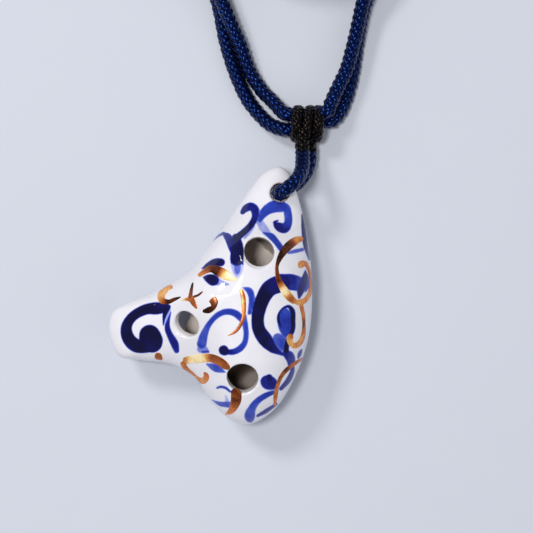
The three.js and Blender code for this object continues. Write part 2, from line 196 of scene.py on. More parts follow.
def turned(name: str, rings: list, sides: int = 72) -> Object:
    """A solid turned round +Z: a disc drawn out from ring to ring.

    Args:
        name: Name of the new object.
        rings: The radius and height of each ring, from the lowest up.
        sides: Count of facets round it.

    Returns:
        The new object, on the origin.
    """
    choose_none()
    bpy.ops.mesh.primitive_circle_add(vertices=sides, radius=rings[0][0], fill_type="NGON")
    obj = bpy.context.object
    obj.name = name
    obj.data.transform(Matrix.Translation((0, 0, rings[0][1])))
    bpy.ops.object.mode_set(mode="EDIT")
    bpy.ops.mesh.select_all(action="SELECT")
    for (radius, height), (next_radius, next_height) in pairwise(rings):
        rise = (0, 0, next_height - height)
        bpy.ops.mesh.extrude_region_move(TRANSFORM_OT_translate={"value": rise})
        spread = next_radius / radius
        bpy.ops.transform.resize(value=(spread, spread, 1), center_override=(0, 0, next_height))
    bpy.ops.object.mode_set(mode="OBJECT")
    face_outward(obj)
    return obj


# Curves and blends


def smoothstep(value: np.ndarray, low: float, high: float) -> np.ndarray:
    """A share that runs smoothly from 0 at low to 1 at high."""
    share = np.clip((value - low) / (high - low), 0, 1)
    return share * share * (3 - 2 * share)


def through(points: np.ndarray, closed: bool = False, per_span: int = 12) -> np.ndarray:
    """A smooth centripetal curve through points, whatever their number of columns.

    Args:
        points: The points that it passes, one row each.
        closed: Whether it comes back to its first point.
        per_span: Steps from one point to the next.

    Returns:
        The curve's points, one row each.
    """
    given = np.asarray(points, float)
    if closed:
        ring = np.vstack([given[-1], given, given[:2]])
    else:
        ring = np.vstack([2 * given[0] - given[1], given, 2 * given[-1] - given[-2]])
    u = (np.arange(per_span) / per_span)[:, None]
    curve = []
    for p0, p1, p2, p3 in zip(ring, ring[1:], ring[2:], ring[3:]):
        before, span, after = (
            max(np.linalg.norm(b - a), TINY) ** 0.5 for a, b in ((p0, p1), (p1, p2), (p2, p3)))
        leave = (p1 - p0) / before - (p2 - p0) / (before + span) + (p2 - p1) / span
        arrive = (p2 - p1) / span - (p3 - p1) / (span + after) + (p3 - p2) / after
        bend_out = (u**3 - 2 * u**2 + u) * leave * span
        bend_in = (u**3 - u**2) * arrive * span
        between = (2 * u**3 - 3 * u**2 + 1) * p1 + (3 * u**2 - 2 * u**3) * p2
        curve.append(between + bend_out + bend_in)
    if not closed:
        curve.append(given[-1:])
    return np.vstack(curve)


def evenly(points: np.ndarray, step: float, measured: int | None = None) -> np.ndarray:
    """A line's points again, an even step apart.

    Args:
        points: The points, one row each.
        step: Distance from one new point to the next.
        measured: Count of the first columns that the distance is measured by, if not all.
    """
    lengths = np.linalg.norm(np.diff(points[:, :measured], axis=0), axis=1)
    along = np.concatenate([[0], np.cumsum(lengths)])
    count = max(2, round(along[-1] / step) + 1)
    wanted = np.linspace(0, along[-1], count)
    return np.column_stack([np.interp(wanted, along, column) for column in points.T])


def unit(vectors: np.ndarray) -> np.ndarray:
    """Vectors brought to a length of one."""
    return vectors / np.linalg.norm(vectors, axis=-1, keepdims=True)


# Form of the porcelain


@dataclass(frozen=True)
class Dome:
    """One half of the flute: its side of the seam, its heights over it and its roundness."""

    side: int
    crown: float
    mouth: float
    lug: float
    roundness: float


@dataclass
class FluteForm:
    """The flute's outer form and its hollow, as formulas of the place in plan.

    The outline is given clockwise from the lug's tip, as shares of the width and length.
    """

    width: float = 0.0542
    length: float = 0.0689
    seam: float = SEAM
    wall: float = 0.003
    mouth_blend: tuple = (0.006, 0.022)
    lug_blend: tuple = (0.009, 0.025)
    front: Dome = Dome(1, 0.0165, 0.009, 0.0074, 2.1)
    back: Dome = Dome(-1, 0.0124, 0.0095, 0.0074, 2.5)
    crown_shares: tuple = (0.145, 0.012)
    mouth_shares: tuple = (-0.645, -0.155)
    lug_shares: tuple = (0.197, 0.484)
    outline_shares: tuple = (
        (0.337, 0.5), (0.387, 0.473), (0.426, 0.395), (0.475, 0.233), (0.5, 0.058),
        (0.485, -0.155), (0.401, -0.341), (0.303, -0.45), (0.18, -0.5), (0.076, -0.469),
        (-0.012, -0.391), (-0.081, -0.314), (-0.195, -0.267), (-0.347, -0.25),
        (-0.446, -0.236), (-0.49, -0.174), (-0.5, -0.112), (-0.48, -0.062),
        (-0.421, -0.031), (-0.259, 0.023), (-0.101, 0.101), (-0.012, 0.186),
        (0.155, 0.368), (0.254, 0.469),
    )
    segments: int = 192
    rings: int = 96
    probe: float = 0.02 * MILLIMETRE

    def __post_init__(self) -> None:
        """Works out the outline, the two headings of the arms and the reach each way."""
        edge = through(self.plan(self.outline_shares), closed=True)
        edge = edge - (edge.min(0) + edge.max(0)) / 2
        self.crown = self.plan(self.crown_shares)
        self.mouth_heading = unit(self.plan(self.mouth_shares))
        self.lug_heading = unit(self.plan(self.lug_shares))
        self.outer = self.reach_table(edge)
        self.inner = self.reach_table(self.drawn_in(edge))

    def plan(self, shares: tuple) -> np.ndarray:
        """Places in plan from shares of the width and length."""
        return np.asarray(shares) * (self.width, self.length)

    def drawn_in(self, edge: np.ndarray) -> np.ndarray:
        """The outline drawn in by the wall, square to itself."""
        along = unit(np.roll(edge, -1, 0) - np.roll(edge, 1, 0))
        return edge + self.wall * np.column_stack([along[:, 1], -along[:, 0]])

    def reach_table(self, edge: np.ndarray) -> tuple:
        """The direction and the distance of an outline's points from the crown."""
        out = edge - self.crown
        return np.arctan2(out[:, 1], out[:, 0]), np.linalg.norm(out, axis=1)

    def dome_height(self, plan: np.ndarray, crown: float, mouth: float, lug: float) -> np.ndarray:
        """Height of a dome over the seam before its rim falls away: lower along the arms."""
        out = plan - self.crown
        toward_mouth = smoothstep(out @ self.mouth_heading, *self.mouth_blend)
        toward_lug = smoothstep(out @ self.lug_heading, *self.lug_blend)
        height = crown + (mouth - crown) * toward_mouth
        return height + (lug - height) * toward_lug

    def share_out(self, plan: np.ndarray) -> np.ndarray:
        """Share of the way from the crown to the outline."""
        out = plan - self.crown
        angle = np.arctan2(out[..., 1], out[..., 0])
        reach = np.interp(angle, *self.outer, period=FULL_TURN)
        return np.linalg.norm(out, axis=-1) / reach

    def surface(self, plan: np.ndarray, dome: Dome) -> np.ndarray:
        """Height of a dome's outer face at places in plan."""
        share = np.clip(self.share_out(plan), 0, 1)
        fall = (1 - share**dome.roundness) ** (1 / dome.roundness)
        height = self.dome_height(plan, dome.crown, dome.mouth, dome.lug)
        return self.seam + dome.side * height * fall

    def by_half(self, up: np.ndarray) -> tuple:
        """The three heights, the roundness and the side of the dome that each point is on."""
        pick = [np.where(up, getattr(self.front, name), getattr(self.back, name))
                for name in ("crown", "mouth", "lug", "roundness", "side")]
        return pick[:3], pick[3], pick[4]

    def bulge(self, points: np.ndarray) -> np.ndarray:
        """Below zero inside the outer face, zero on it and above zero outside."""
        heights, roundness, _ = self.by_half(points[:, 2] >= self.seam)
        height = self.dome_height(points[:, :2], *heights)
        rise = np.abs(points[:, 2] - self.seam) / height
        return (self.share_out(points[:, :2]) ** roundness + rise**roundness) ** (1 / roundness) - 1

    def outside(self, points: np.ndarray) -> tuple:
        """Distance of points past the outer face, and the direction straight out of it."""
        slopes = [(self.bulge(points + way) - self.bulge(points - way)) / (2 * self.probe)
                  for way in self.probe * np.eye(3)]
        slope = np.column_stack(slopes)
        steepness = np.linalg.norm(slope, axis=1, keepdims=True)
        return self.bulge(points) / steepness[:, 0], slope / steepness

    def seat(self, plan: np.ndarray, dome: Dome) -> tuple:
        """The points of a dome's outer face at places in plan, and the directions they face."""
        places = np.atleast_2d(plan)
        points = np.column_stack([places, self.surface(places, dome)])
        return points, self.outside(points)[1]

    def pressed(self, name: str, wall: float = 0.0) -> Object:
        """A sphere pressed into the flute's form, or into its hollow if a wall is given."""
        choose_none()
        bpy.ops.mesh.primitive_uv_sphere_add(
            segments=self.segments, ring_count=self.rings, radius=1)
        obj = bpy.context.object
        obj.name = name
        ball = mesh_points(obj)
        heights, roundness, side = self.by_half(ball[:, 2] >= 0)
        share = np.linalg.norm(ball[:, :2], axis=1) ** (2 / roundness)
        angle = np.arctan2(ball[:, 1], ball[:, 0])
        reach = np.interp(angle, *(self.inner if wall else self.outer), period=FULL_TURN)
        out = (share * reach)[:, None] * np.column_stack([np.cos(angle), np.sin(angle)])
        plan = self.crown + out
        height = (self.dome_height(plan, *heights) - wall) * np.abs(ball[:, 2]) ** (2 / roundness)
        place_points(obj, np.column_stack([plan, self.seam + side * height]))
        return obj


# Painted scrolls


class Side(Enum):
    """The face that a drawing is for."""

    FRONT = 1
    BACK = -1


@dataclass(frozen=True)
class Stroke:
    """One stroke of the brush: places on the drawing, the widths there and how full it is.

    The fullness is one number for the whole stroke or one for each place. On a gilt stroke it is
    the gold's tone there, and the values near one are painted highlights.
    """

    places: tuple
    widths: tuple
    fullness: float | tuple = 1.0
    per_span: int = 8

    def line(self) -> np.ndarray:
        """The stroke's middle line with its half width and its fullness in the last columns."""
        fullness = np.broadcast_to(self.fullness, len(self.places))
        rows = np.column_stack([self.places, np.asarray(self.widths) / 2])
        rows = through(rows, per_span=self.per_span)
        share = np.linspace(0, len(self.places) - 1, len(rows))
        return np.column_stack([rows, np.interp(share, range(len(self.places)), fullness)])


COBALT_FRONT = (
    # The comma on the mouthpiece and the leaf beside it
    Stroke(((422, 848), (372, 855), (300, 862), (226, 905), (197, 958), (206, 1015), (246, 1056),
            (310, 1068), (362, 1064)), (30, 66, 58, 54, 60, 70, 74, 56, 40), 1.0),
    Stroke(((322, 1000), (330, 1028), (336, 1040)), (112, 126, 112), 1.0),
    Stroke(((416, 850), (402, 895), (395, 948)), (40, 22, 5), 0.95),
    Stroke(((422, 868), (413, 908), (404, 940)), (32, 24, 10), 0.08),
    Stroke(((437, 876), (424, 920), (418, 960), (432, 1000), (456, 1045), (468, 1084)),
           (6, 18, 32, 36, 44, 30), 0.72),
    # The hooked comma left of the upper hole, the block under it and its pale drop
    Stroke(((824, 336), (842, 316), (868, 306), (890, 322), (892, 362), (872, 402), (838, 438),
            (800, 470)), (26, 40, 46, 48, 38, 36, 36, 40),
           (0.8, 0.76, 0.74, 0.76, 0.8, 0.9, 0.95, 0.95)),
    Stroke(((886, 412), (862, 446), (836, 476)), (12, 16, 12), 0.15),
    Stroke(((668, 488), (694, 464), (722, 450)), (4, 12, 18), 0.76),
    Stroke(((722, 452), (746, 472), (764, 512), (778, 548)), (18, 42, 46, 44), 0.8),
    Stroke(((790, 474), (795, 520), (795, 560), (794, 590)), (46, 66, 74, 74), 0.97),
    Stroke(((764, 590), (762, 612)), (14, 5), 0.9),
    Stroke(((822, 590), (827, 618)), (18, 7), 0.95),
    Stroke(((795, 596), (797, 630), (797, 660), (796, 690)), (72, 66, 44, 6), 0.05),
    Stroke(((797, 618), (797, 645), (796, 670)), (38, 38, 12), 0.34),
    # The eye under it, above and below the gilt arc
    Stroke(((606, 641), (640, 622), (680, 608), (708, 607)), (8, 30, 46, 44), 0.94),
    Stroke(((614, 688), (640, 694), (664, 703), (668, 704)), (10, 44, 62, 60), 0.95),
    Stroke(((694, 714), (720, 722), (750, 727)), (40, 26, 6), 0.18),
    # The scroll at the lug
    Stroke(((918, 380), (932, 350), (962, 320), (1000, 305), (1036, 306)),
           (26, 44, 58, 68, 60), 0.52),
    Stroke(((1030, 298), (1060, 312), (1070, 350), (1070, 396), (1050, 422), (1020, 414),
            (996, 392)), (40, 44, 45, 46, 56, 48, 16), (0.56, 0.56, 0.56, 0.6, 0.7, 0.76, 0.8)),
    Stroke(((998, 388), (1016, 381)), (14, 10), 0.95),
    Stroke(((920, 392), (936, 420), (958, 446)), (38, 44, 36), 0.16),
    Stroke(((938, 447), (978, 466), (1010, 500), (1034, 534)), (12, 36, 34, 34), 0.52),
    Stroke(((1072, 556), (1100, 549), (1148, 538)), (14, 22, 20), 0.4),
    Stroke(((1150, 352), (1156, 440), (1166, 520), (1186, 590)), (18, 26, 26, 14), 0.9),
    # The great scroll on the right
    Stroke(((1036, 717), (972, 747), (940, 792), (917, 850), (906, 915), (914, 972), (948, 1024),
            (986, 1070), (1040, 1104)), (98, 90, 80, 75, 68, 72, 78, 52, 18),
           (0.84, 0.92, 1.0, 1.0, 1.0, 1.0, 0.96, 0.86, 0.7)),
    Stroke(((1036, 712), (1080, 713), (1120, 722), (1148, 734)), (84, 88, 82, 60),
           (0.8, 0.68, 0.64, 0.64)),
    Stroke(((1164, 652), (1162, 700), (1140, 756), (1130, 798)), (8, 44, 42, 14), 0.86),
    Stroke(((1174, 694), (1178, 730), (1164, 764)), (18, 26, 12), 0.6),
    Stroke(((1036, 963), (1021, 930), (1019, 895), (1036, 862), (1072, 845), (1093, 868),
            (1097, 920), (1095, 975), (1076, 1010), (1064, 1050), (1060, 1086)),
           (8, 18, 16, 12, 18, 28, 28, 26, 26, 28, 32), 1.0),
    Stroke(((1052, 872), (1058, 910), (1058, 950), (1062, 990)), (44, 82, 84, 50), 0.56),
    Stroke(((1014, 1016), (1030, 1032), (1042, 1070)), (54, 66, 34), 0.44),
    Stroke(((1048, 1100), (1074, 1110), (1086, 1135), (1082, 1162)), (24, 52, 48, 26), 0.72),
    Stroke(((1096, 1156), (1092, 1200), (1070, 1246), (1032, 1290)), (20, 26, 30, 22), 0.74),
    Stroke(((1144, 1078), (1134, 1100), (1126, 1124)), (8, 22, 12), 0.7),
    # The loop in the middle and the stroke above it
    Stroke(((604, 1048), (614, 1005), (638, 950), (674, 905), (712, 880), (752, 874), (790, 886),
            (820, 914)), (54, 46, 32, 30, 32, 36, 40, 36),
           (0.48, 0.48, 0.48, 0.5, 0.52, 0.56, 0.64, 0.6)),
    Stroke(((600, 1076), (620, 1080)), (44, 40), 0.18),
    Stroke(((608, 1091), (638, 1090)), (14, 16), 0.55),
    Stroke(((830, 900), (840, 950), (844, 1000), (836, 1040), (812, 1072), (776, 1090),
            (740, 1092)), (34, 31, 30, 32, 36, 34, 30), (0.46, 0.46, 0.46, 0.5, 0.56, 0.66, 0.8)),
    Stroke(((722, 1082), (728, 1086)), (54, 50), 0.94),
    Stroke(((828, 744), (862, 762), (874, 800), (868, 850), (862, 880)), (8, 36, 34, 28, 22), 0.5),
    # The short strokes at the bottom
    Stroke(((634, 1158), (680, 1178), (730, 1201)), (14, 44, 8), 0.42),
    Stroke(((686, 1286), (706, 1280), (732, 1286), (758, 1306)), (10, 16, 16, 12), 0.6),
    Stroke(((658, 1350), (700, 1371), (754, 1376)), (5, 24, 36), 0.42),
    Stroke(((734, 1330), (744, 1360)), (12, 20), 0.12),
    Stroke(((948, 1250), (964, 1256), (990, 1266)), (56, 80, 58), 0.72),
    Stroke(((968, 1230), (972, 1242)), (38, 30), 0.9),
    Stroke(((1010, 1303), (950, 1326), (900, 1362), (872, 1404), (863, 1438), (865, 1452)),
           (18, 32, 36, 46, 58, 44), (0.6, 0.56, 0.5, 0.46, 0.46, 0.5)),
    Stroke(((906, 1436), (950, 1412), (1006, 1374)), (16, 24, 16), 0.74),
)

# The fullness of each gilt stroke is its tone; the values near one are painted highlights where the
# gold mirrors a lamp.
GILT_FRONT = (
    Stroke(((1152, 476), (1112, 490), (1068, 524), (1030, 575), (1011, 625), (1011, 665),
            (1024, 710), (1050, 758), (1082, 798), (1112, 826)),
           (24, 44, 48, 34, 20, 24, 32, 44, 44, 28),
           (0.6, 0.5, 0.05, 0.05, 0.1, 0.2, 0.35, 1.0, 0.5, 0.55)),
    Stroke(((1148, 636), (1142, 618), (1164, 614), (1184, 650), (1194, 700), (1192, 760),
            (1168, 806), (1134, 824), (1106, 818)), (34, 42, 28, 20, 20, 24, 28, 36, 24),
           (0.55, 0.6, 0.6, 0.45, 0.4, 0.5, 0.6, 0.65, 0.6)),
    Stroke(((1140, 834), (1152, 890), (1156, 945), (1152, 1000), (1132, 1044), (1104, 1058),
            (1082, 1036), (1082, 1012), (1096, 1000)), (24, 22, 18, 26, 30, 32, 34, 38, 22),
           (0.6, 0.5, 0.25, 0.5, 0.6, 0.6, 0.75, 0.65, 0.5)),
    Stroke(((584, 682), (618, 658), (655, 642), (692, 654), (728, 674), (764, 692), (798, 702)),
           (20, 30, 42, 56, 58, 34, 4), (0.7, 0.55, 0.1, 0.1, 0.95, 1.0, 0.9)),
    Stroke(((446, 734), (414, 752), (386, 782), (390, 812), (424, 820), (458, 806), (492, 794)),
           (24, 30, 42, 40, 26, 20, 6), (0.65, 0.65, 0.7, 0.6, 0.05, 0.05, 0.1)),
    Stroke(((556, 716), (548, 755), (540, 806)), (10, 18, 26), (0.05, 0.1, 0.35)),
    Stroke(((610, 764), (585, 784), (552, 796)), (8, 13, 14), (0.1, 0.15, 0.35)),
    Stroke(((494, 812), (530, 806), (552, 812)), (6, 22, 36), (0.9, 0.5, 0.45)),
    Stroke(((546, 800), (560, 828), (578, 858)), (34, 30, 10), (0.3, 0.5, 0.45)),
    Stroke(((658, 800), (670, 822), (666, 850), (640, 866), (608, 872)), (52, 46, 30, 36, 16),
           (0.35, 0.15, 0.1, 0.1, 0.1)),
    Stroke(((816, 752), (826, 786), (831, 826), (831, 886), (818, 936), (786, 982), (744, 1004)),
           (18, 26, 26, 22, 20, 16, 5), (0.8, 0.45, 0.45, 0.6, 0.25, 0.45, 0.6)),
    Stroke(((502, 1140), (550, 1132), (600, 1126), (650, 1124), (695, 1140), (735, 1168),
             (754, 1184)), (36, 46, 50, 48, 48, 42, 18), (0.5, 0.95, 1.0, 0.4, 0.35, 0.28, 0.3)),
    Stroke(((498, 1142), (514, 1176), (548, 1208), (586, 1240), (616, 1246), (628, 1222),
            (616, 1200)), (30, 30, 26, 28, 38, 34, 10), (0.5, 0.5, 0.5, 0.55, 0.6, 0.5, 0.3)),
    Stroke(((350, 1108), (370, 1116), (390, 1134)), (30, 42, 10), (0.5, 0.45, 0.4)),
    Stroke(((774, 1290), (789, 1322), (789, 1352), (778, 1384), (762, 1410), (730, 1430)),
           (34, 60, 60, 50, 36, 8), (0.2, 0.32, 0.18, 0.42, 0.55, 0.5)),
    Stroke(((1150, 1125), (1110, 1152), (1060, 1190), (1030, 1230), (1012, 1280), (1003, 1330),
            (998, 1385)), (12, 20, 24, 22, 20, 24, 12), (0.4, 0.4, 0.2, 0.35, 0.45, 0.5, 0.5)),
)

# The back doesn't show in the photograph. It has a few scrolls by the same hand.
COBALT_BACK = (
    Stroke(((700, 620), (760, 560), (850, 540), (930, 580), (960, 660), (920, 730), (850, 740),
            (820, 690), (850, 660)), (26, 44, 58, 66, 62, 54, 44, 32, 20), 0.9),
    Stroke(((1060, 760), (1120, 830), (1120, 930), (1050, 1010), (960, 1020), (910, 960),
            (940, 900), (990, 910)), (22, 50, 64, 68, 58, 46, 34, 20), 0.95),
    Stroke(((760, 1010), (700, 1060), (690, 1140), (750, 1190), (820, 1170), (820, 1110)),
           (20, 40, 52, 54, 44, 20), 0.7),
    Stroke(((900, 1180), (960, 1240), (950, 1320), (880, 1370)), (18, 44, 48, 14), 0.6),
    Stroke(((880, 430), (940, 380), (1010, 390), (1040, 450), (1000, 490)),
           (18, 38, 46, 40, 16), 0.75),
    Stroke(((640, 800), (600, 870), (520, 900)), (16, 42, 14), 0.5),
    Stroke(((1010, 620), (1070, 640), (1130, 700)), (14, 36, 14), 0.4),
)

GILT_BACK = (
    Stroke(((1000, 540), (1060, 500), (1110, 540), (1090, 600)), (10, 24, 30, 12),
           (0.4, 0.5, 0.55, 0.35)),
    Stroke(((1010, 1154), (1062, 1136), (1106, 1090), (1128, 1030)), (10, 24, 28, 8),
           (0.4, 0.55, 0.5, 0.3)),
    Stroke(((508, 752), (562, 704), (618, 694)), (10, 26, 10), 0.5),
    Stroke(((790, 1290), (830, 1320), (850, 1380)), (12, 28, 8), 0.5),
)


@dataclass(frozen=True)
class Drawing:
    """The flat sheet that the scrolls are drawn on, laid over the flute at the seam's height.

    Its places run to the right and down from its upper left corner. They are carried to the
    flute along the sight lines of the eye that the drawing was made from.
    """

    side: Side
    left: float = -0.03217
    top: float = 0.0388
    scale: float = 0.0000494
    rim_share: float = 0.992
    passes: int = 8
    reach: float = 0.5 * MILLIMETRE
    thinning: tuple = (-0.15, 0.3)

    @property
    def eye(self) -> np.ndarray:
        """The place that the drawing was made from."""
        return np.array([*EYE, SEAM + self.side.value * EYE_HEIGHT])

    def seen_at(self, points: np.ndarray) -> np.ndarray:
        """Places on the drawing that cover points of the flute."""
        spread = (SEAM - self.eye[2]) / (points[:, 2:] - self.eye[2])
        plan = self.eye[:2] + (points[:, :2] - self.eye[:2]) * spread
        return np.column_stack([plan[:, 0] - self.left, self.top - plan[:, 1]]) / self.scale

    def laid_on(self, form: FluteForm, places: np.ndarray) -> tuple:
        """Points of the flute under places of the drawing, and the directions they face."""
        dome = form.front if self.side is Side.FRONT else form.back
        flat = np.column_stack([self.left + places[:, 0] * self.scale,
                                self.top - places[:, 1] * self.scale])
        plan = flat
        for _ in range(self.passes):
            height = form.surface(self.kept_on(form, plan), dome)[:, None]
            spread = (height - self.eye[2]) / (SEAM - self.eye[2])
            plan = self.eye[:2] + (flat - self.eye[:2]) * spread
        return form.seat(self.kept_on(form, plan), dome)

    def kept_on(self, form: FluteForm, plan: np.ndarray) -> np.ndarray:
        """Places in plan, drawn back to the dome's rim where they lie past it."""
        out = plan - form.crown
        share = form.share_out(plan)[:, None]
        return form.crown + out * np.minimum(1, self.rim_share / share)

    def painted(self, strokes: tuple, points: np.ndarray) -> tuple:
        """How deep points lie inside the strokes, and how full the brush is there.

        Args:
            strokes: The strokes of one colour.
            points: Points on the flute.

        Returns:
            The depth inside the nearest stroke's edge in millimetres, below zero outside it,
            and the fullness there, which thins toward each stroke's edge.
        """
        places = self.seen_at(points)
        depth = np.full(len(points), -1.0)
        fullness = np.zeros(len(points))
        for stroke in strokes:
            line = stroke.line()
            margin = line[:, 2].max() + self.reach / self.scale
            low, high = line[:, :2].min(0) - margin, line[:, :2].max(0) + margin
            near = np.flatnonzero(np.all((places > low) & (places < high), axis=1))
            inside, full = stroke_depth(line, places[near])
            inside = inside * self.scale / MILLIMETRE
            fullness[near] = np.maximum(fullness[near], full * smoothstep(inside, *self.thinning))
            depth[near] = np.maximum(depth[near], inside)
        return depth, fullness


def stroke_depth(line: np.ndarray, places: np.ndarray) -> tuple:
    """How far places lie inside the edge of a stroke, and how full the brush is there.

    Args:
        line: The stroke's middle line with its half width and its fullness.
        places: Places on the drawing.

    Returns:
        The depth inside the edge, below zero outside it, and the fullness at the nearest part.
    """
    best = np.full(len(places), -np.inf)
    full = np.zeros(len(places))
    for start, end in pairwise(line):
        run = end[:2] - start[:2]
        share = np.clip((places - start[:2]) @ run / max(run @ run, TINY), 0, 1)
        gap = np.linalg.norm(places - start[:2] - share[:, None] * run, axis=1)
        inside = start[2] + share * (end[2] - start[2]) - gap
        full = np.where(inside > best, start[3] + share * (end[3] - start[3]), full)
        best = np.maximum(best, inside)
    return best, full


# Finishes


def linear(red: int, green: int, blue: int) -> tuple:
    """A colour as seen, 0 to 255, as the shader's linear colour."""
    parts = [c / 255 for c in (red, green, blue)]
    return (*[c / 12.92 if c <= 0.04045 else ((c + 0.055) / 1.055) ** 2.4 for c in parts], 1)


class Shading:
    """A material's nodes, with short ways to add and join them."""

    def __init__(self, name: str) -> None:
        """Makes the material and takes out all nodes but its output."""
        self.material = bpy.data.materials.new(name)
        self.material.use_nodes = True
        self.tree = self.material.node_tree
        self.tree.nodes.clear()
        self.output = self.tree.nodes.new("ShaderNodeOutputMaterial")

    def add(self, kind: str, inputs: dict, **settings: object) -> Node:
        """Adds a node.

        Args:
            kind: The node's type without its common beginning.
            inputs: Values, or sockets to join, by input name or number.
            settings: The node's own settings.

        Returns:
            The new node.
        """
        node = self.tree.nodes.new("ShaderNode" + kind)
        for key, value in settings.items():
            setattr(node, key, value)
        for key, value in inputs.items():
            if isinstance(value, NodeSocket):
                self.tree.links.new(value, node.inputs[key])
            else:
                node.inputs[key].default_value = value
        return node

    def math(self, operation: str, *values: object) -> NodeSocket:
        """The result of a sum on numbers or sockets."""
        return self.add("Math", dict(enumerate(values)), operation=operation).outputs[0]

    def ease(self, value: NodeSocket, low: float, high: float) -> NodeSocket:
        """A share that runs smoothly from 0 at low to 1 at high."""
        ends = {"Value": value, "From Min": low, "From Max": high}
        return self.add("MapRange", ends, interpolation_type="SMOOTHSTEP").outputs[0]

    def mix(self, share: object, first: object, second: object) -> NodeSocket:
        """A blend of two colours."""
        inputs = {0: share, 6: first, 7: second}
        return self.add("Mix", inputs, data_type="RGBA").outputs[2]

    def value(self, name: str) -> NodeSocket:
        """The number that a mesh keeps per vertex under a name."""
        return self.add("Attribute", {}, attribute_name=name).outputs["Fac"]

    def place(self) -> NodeSocket:
        """The place on the object."""
        return self.add("TexCoord", {}).outputs["Object"]

    def parts(self, vector: NodeSocket) -> tuple:
        """The three parts of a place or a direction."""
        return tuple(self.add("SeparateXYZ", {0: vector}).outputs)

    def noise(self, scale: float, detail: float = 3.0) -> NodeSocket:
        """Soft noise fixed to the object, with so many bumps per metre."""
        inputs = {"Vector": self.place(), "Scale": scale, "Detail": detail}
        return self.add("TexNoise", inputs).outputs["Fac"]

    def ramp(self, share: NodeSocket, stops: tuple) -> NodeSocket:
        """Colours by a share, each stop a place and a colour."""
        node = self.add("ValToRGB", {0: share})
        scale = node.color_ramp.elements
        while len(scale) < len(stops):
            scale.new(0.5)
        for element, (place, colour) in zip(scale, stops):
            element.position = place
            element.color = colour
        return node.outputs["Color"]

    def around(self, noise: NodeSocket, width: float) -> NodeSocket:
        """A noise spread so wide round zero."""
        return self.math("MULTIPLY", self.math("SUBTRACT", noise, 0.5), width)

    def bump(self, height: NodeSocket, depth: float) -> NodeSocket:
        """A bumpy surface from a height, so many metres deep."""
        inputs = {"Height": height, "Distance": depth, "Strength": 1.0}
        return self.add("Bump", inputs).outputs["Normal"]

    def finish(self, **inputs: object) -> Material:
        """Adds the main shader with its inputs, words joined by low lines, and returns all."""
        named = {key.replace("_", " "): value for key, value in inputs.items()}
        shader = self.add("BsdfPrincipled", named)
        self.tree.links.new(shader.outputs["BSDF"], self.output.inputs["Surface"])
        return self.material


@dataclass(frozen=True)
class PorcelainFinish:
    """White glaze with cobalt under it, and bare fired clay inside the hollow.

    The scales are in bumps per metre. Past two lines that wander a little, the clay grows darker
    toward -Y, low on the flute, and gets painted shade toward the lug; smoke lies on it in random
    patches.
    """

    white: tuple = linear(238, 236, 240)
    shade: tuple = linear(226, 224, 232)
    clay: tuple = linear(240, 228, 219)
    # The dark colour of the random smoke patches, of the low end and of the painted shade toward
    # the lug.
    dark_clay_and_painted_shade: tuple = linear(84, 66, 56)
    washes: tuple = (
        (0.0, linear(190, 196, 238)),
        (0.25, linear(102, 116, 206)),
        (0.5, linear(38, 62, 174)),
        (0.75, linear(12, 16, 116)),
        (1.0, linear(0, 0, 50)),
    )
    brush_scale: float = 700
    brush_detail: float = 4
    cloud_scale: float = 260
    bleed: float = 0.24
    edge: tuple = (-0.12, 0.26)
    cloudiness: float = 0.45
    wander_scale: float = 300
    wander: float = 0.003
    low_darkening: tuple = (-0.009, -0.018)
    lug_painted_shade: tuple = (0.0316, 0.0328)
    lug_slant: float = 1.2
    smoke_scale: float = 130
    smoke_edge: tuple = (0.4, 0.7)
    smoke_share: float = 0.3
    zone_share: float = 0.7
    glaze_roughness: float = 0.07
    clay_added: float = 0.75
    glaze_index: float = 1.52
    glaze_shine: float = 0.4
    ripple_scale: float = 220
    ripple: float = 0.000015

    def glazed(self, s: Shading) -> NodeSocket:
        """The glaze's colour, with the cobalt where the brush left it."""
        cloud = s.noise(self.cloud_scale)
        brush = s.noise(self.brush_scale, self.brush_detail)
        bled = s.math("MULTIPLY_ADD", brush, self.bleed, s.value("cobalt_depth"))
        covered = s.ease(bled, *self.edge)
        fullness = s.math("ADD", s.around(cloud, self.cloudiness), s.value("cobalt_fullness"))
        return s.mix(covered, s.mix(cloud, self.white, self.shade), s.ramp(fullness, self.washes))

    def inside(self, s: Shading) -> NodeSocket:
        """The bare clay's colour: darker toward -Y, painted shade toward the lug, and random smoke
        patches.
        """
        across, along, _ = s.parts(s.place())
        wandering = s.math("MULTIPLY_ADD", s.noise(self.wander_scale, 1), self.wander, along)
        # Darker toward -Y, low on the flute.
        low = s.ease(wandering, *self.low_darkening)
        # Painted shade: toward the lug and in its bore the clay is darkened.
        lug = s.ease(s.math("MULTIPLY_ADD", wandering, self.lug_slant, across), *self.lug_painted_shade)
        patches = s.ease(s.noise(self.smoke_scale, 1), *self.smoke_edge)
        smoke = s.math("MULTIPLY", patches, self.smoke_share)
        share = s.math("MULTIPLY_ADD", s.math("ADD", low, lug), self.zone_share, smoke)
        return s.mix(share, self.clay, self.dark_clay_and_painted_shade)

    def material(self) -> Material:
        """The material of the porcelain pieces."""
        s = Shading("glazed_porcelain")
        bare = s.value("bare")
        return s.finish(
            Base_Color=s.mix(bare, self.glazed(s), self.inside(s)),
            Roughness=s.math("MULTIPLY_ADD", bare, self.clay_added, self.glaze_roughness),
            IOR=self.glaze_index,
            Specular_IOR_Level=self.glaze_shine,
            Normal=s.bump(s.noise(self.ripple_scale, 1), self.ripple),
        )


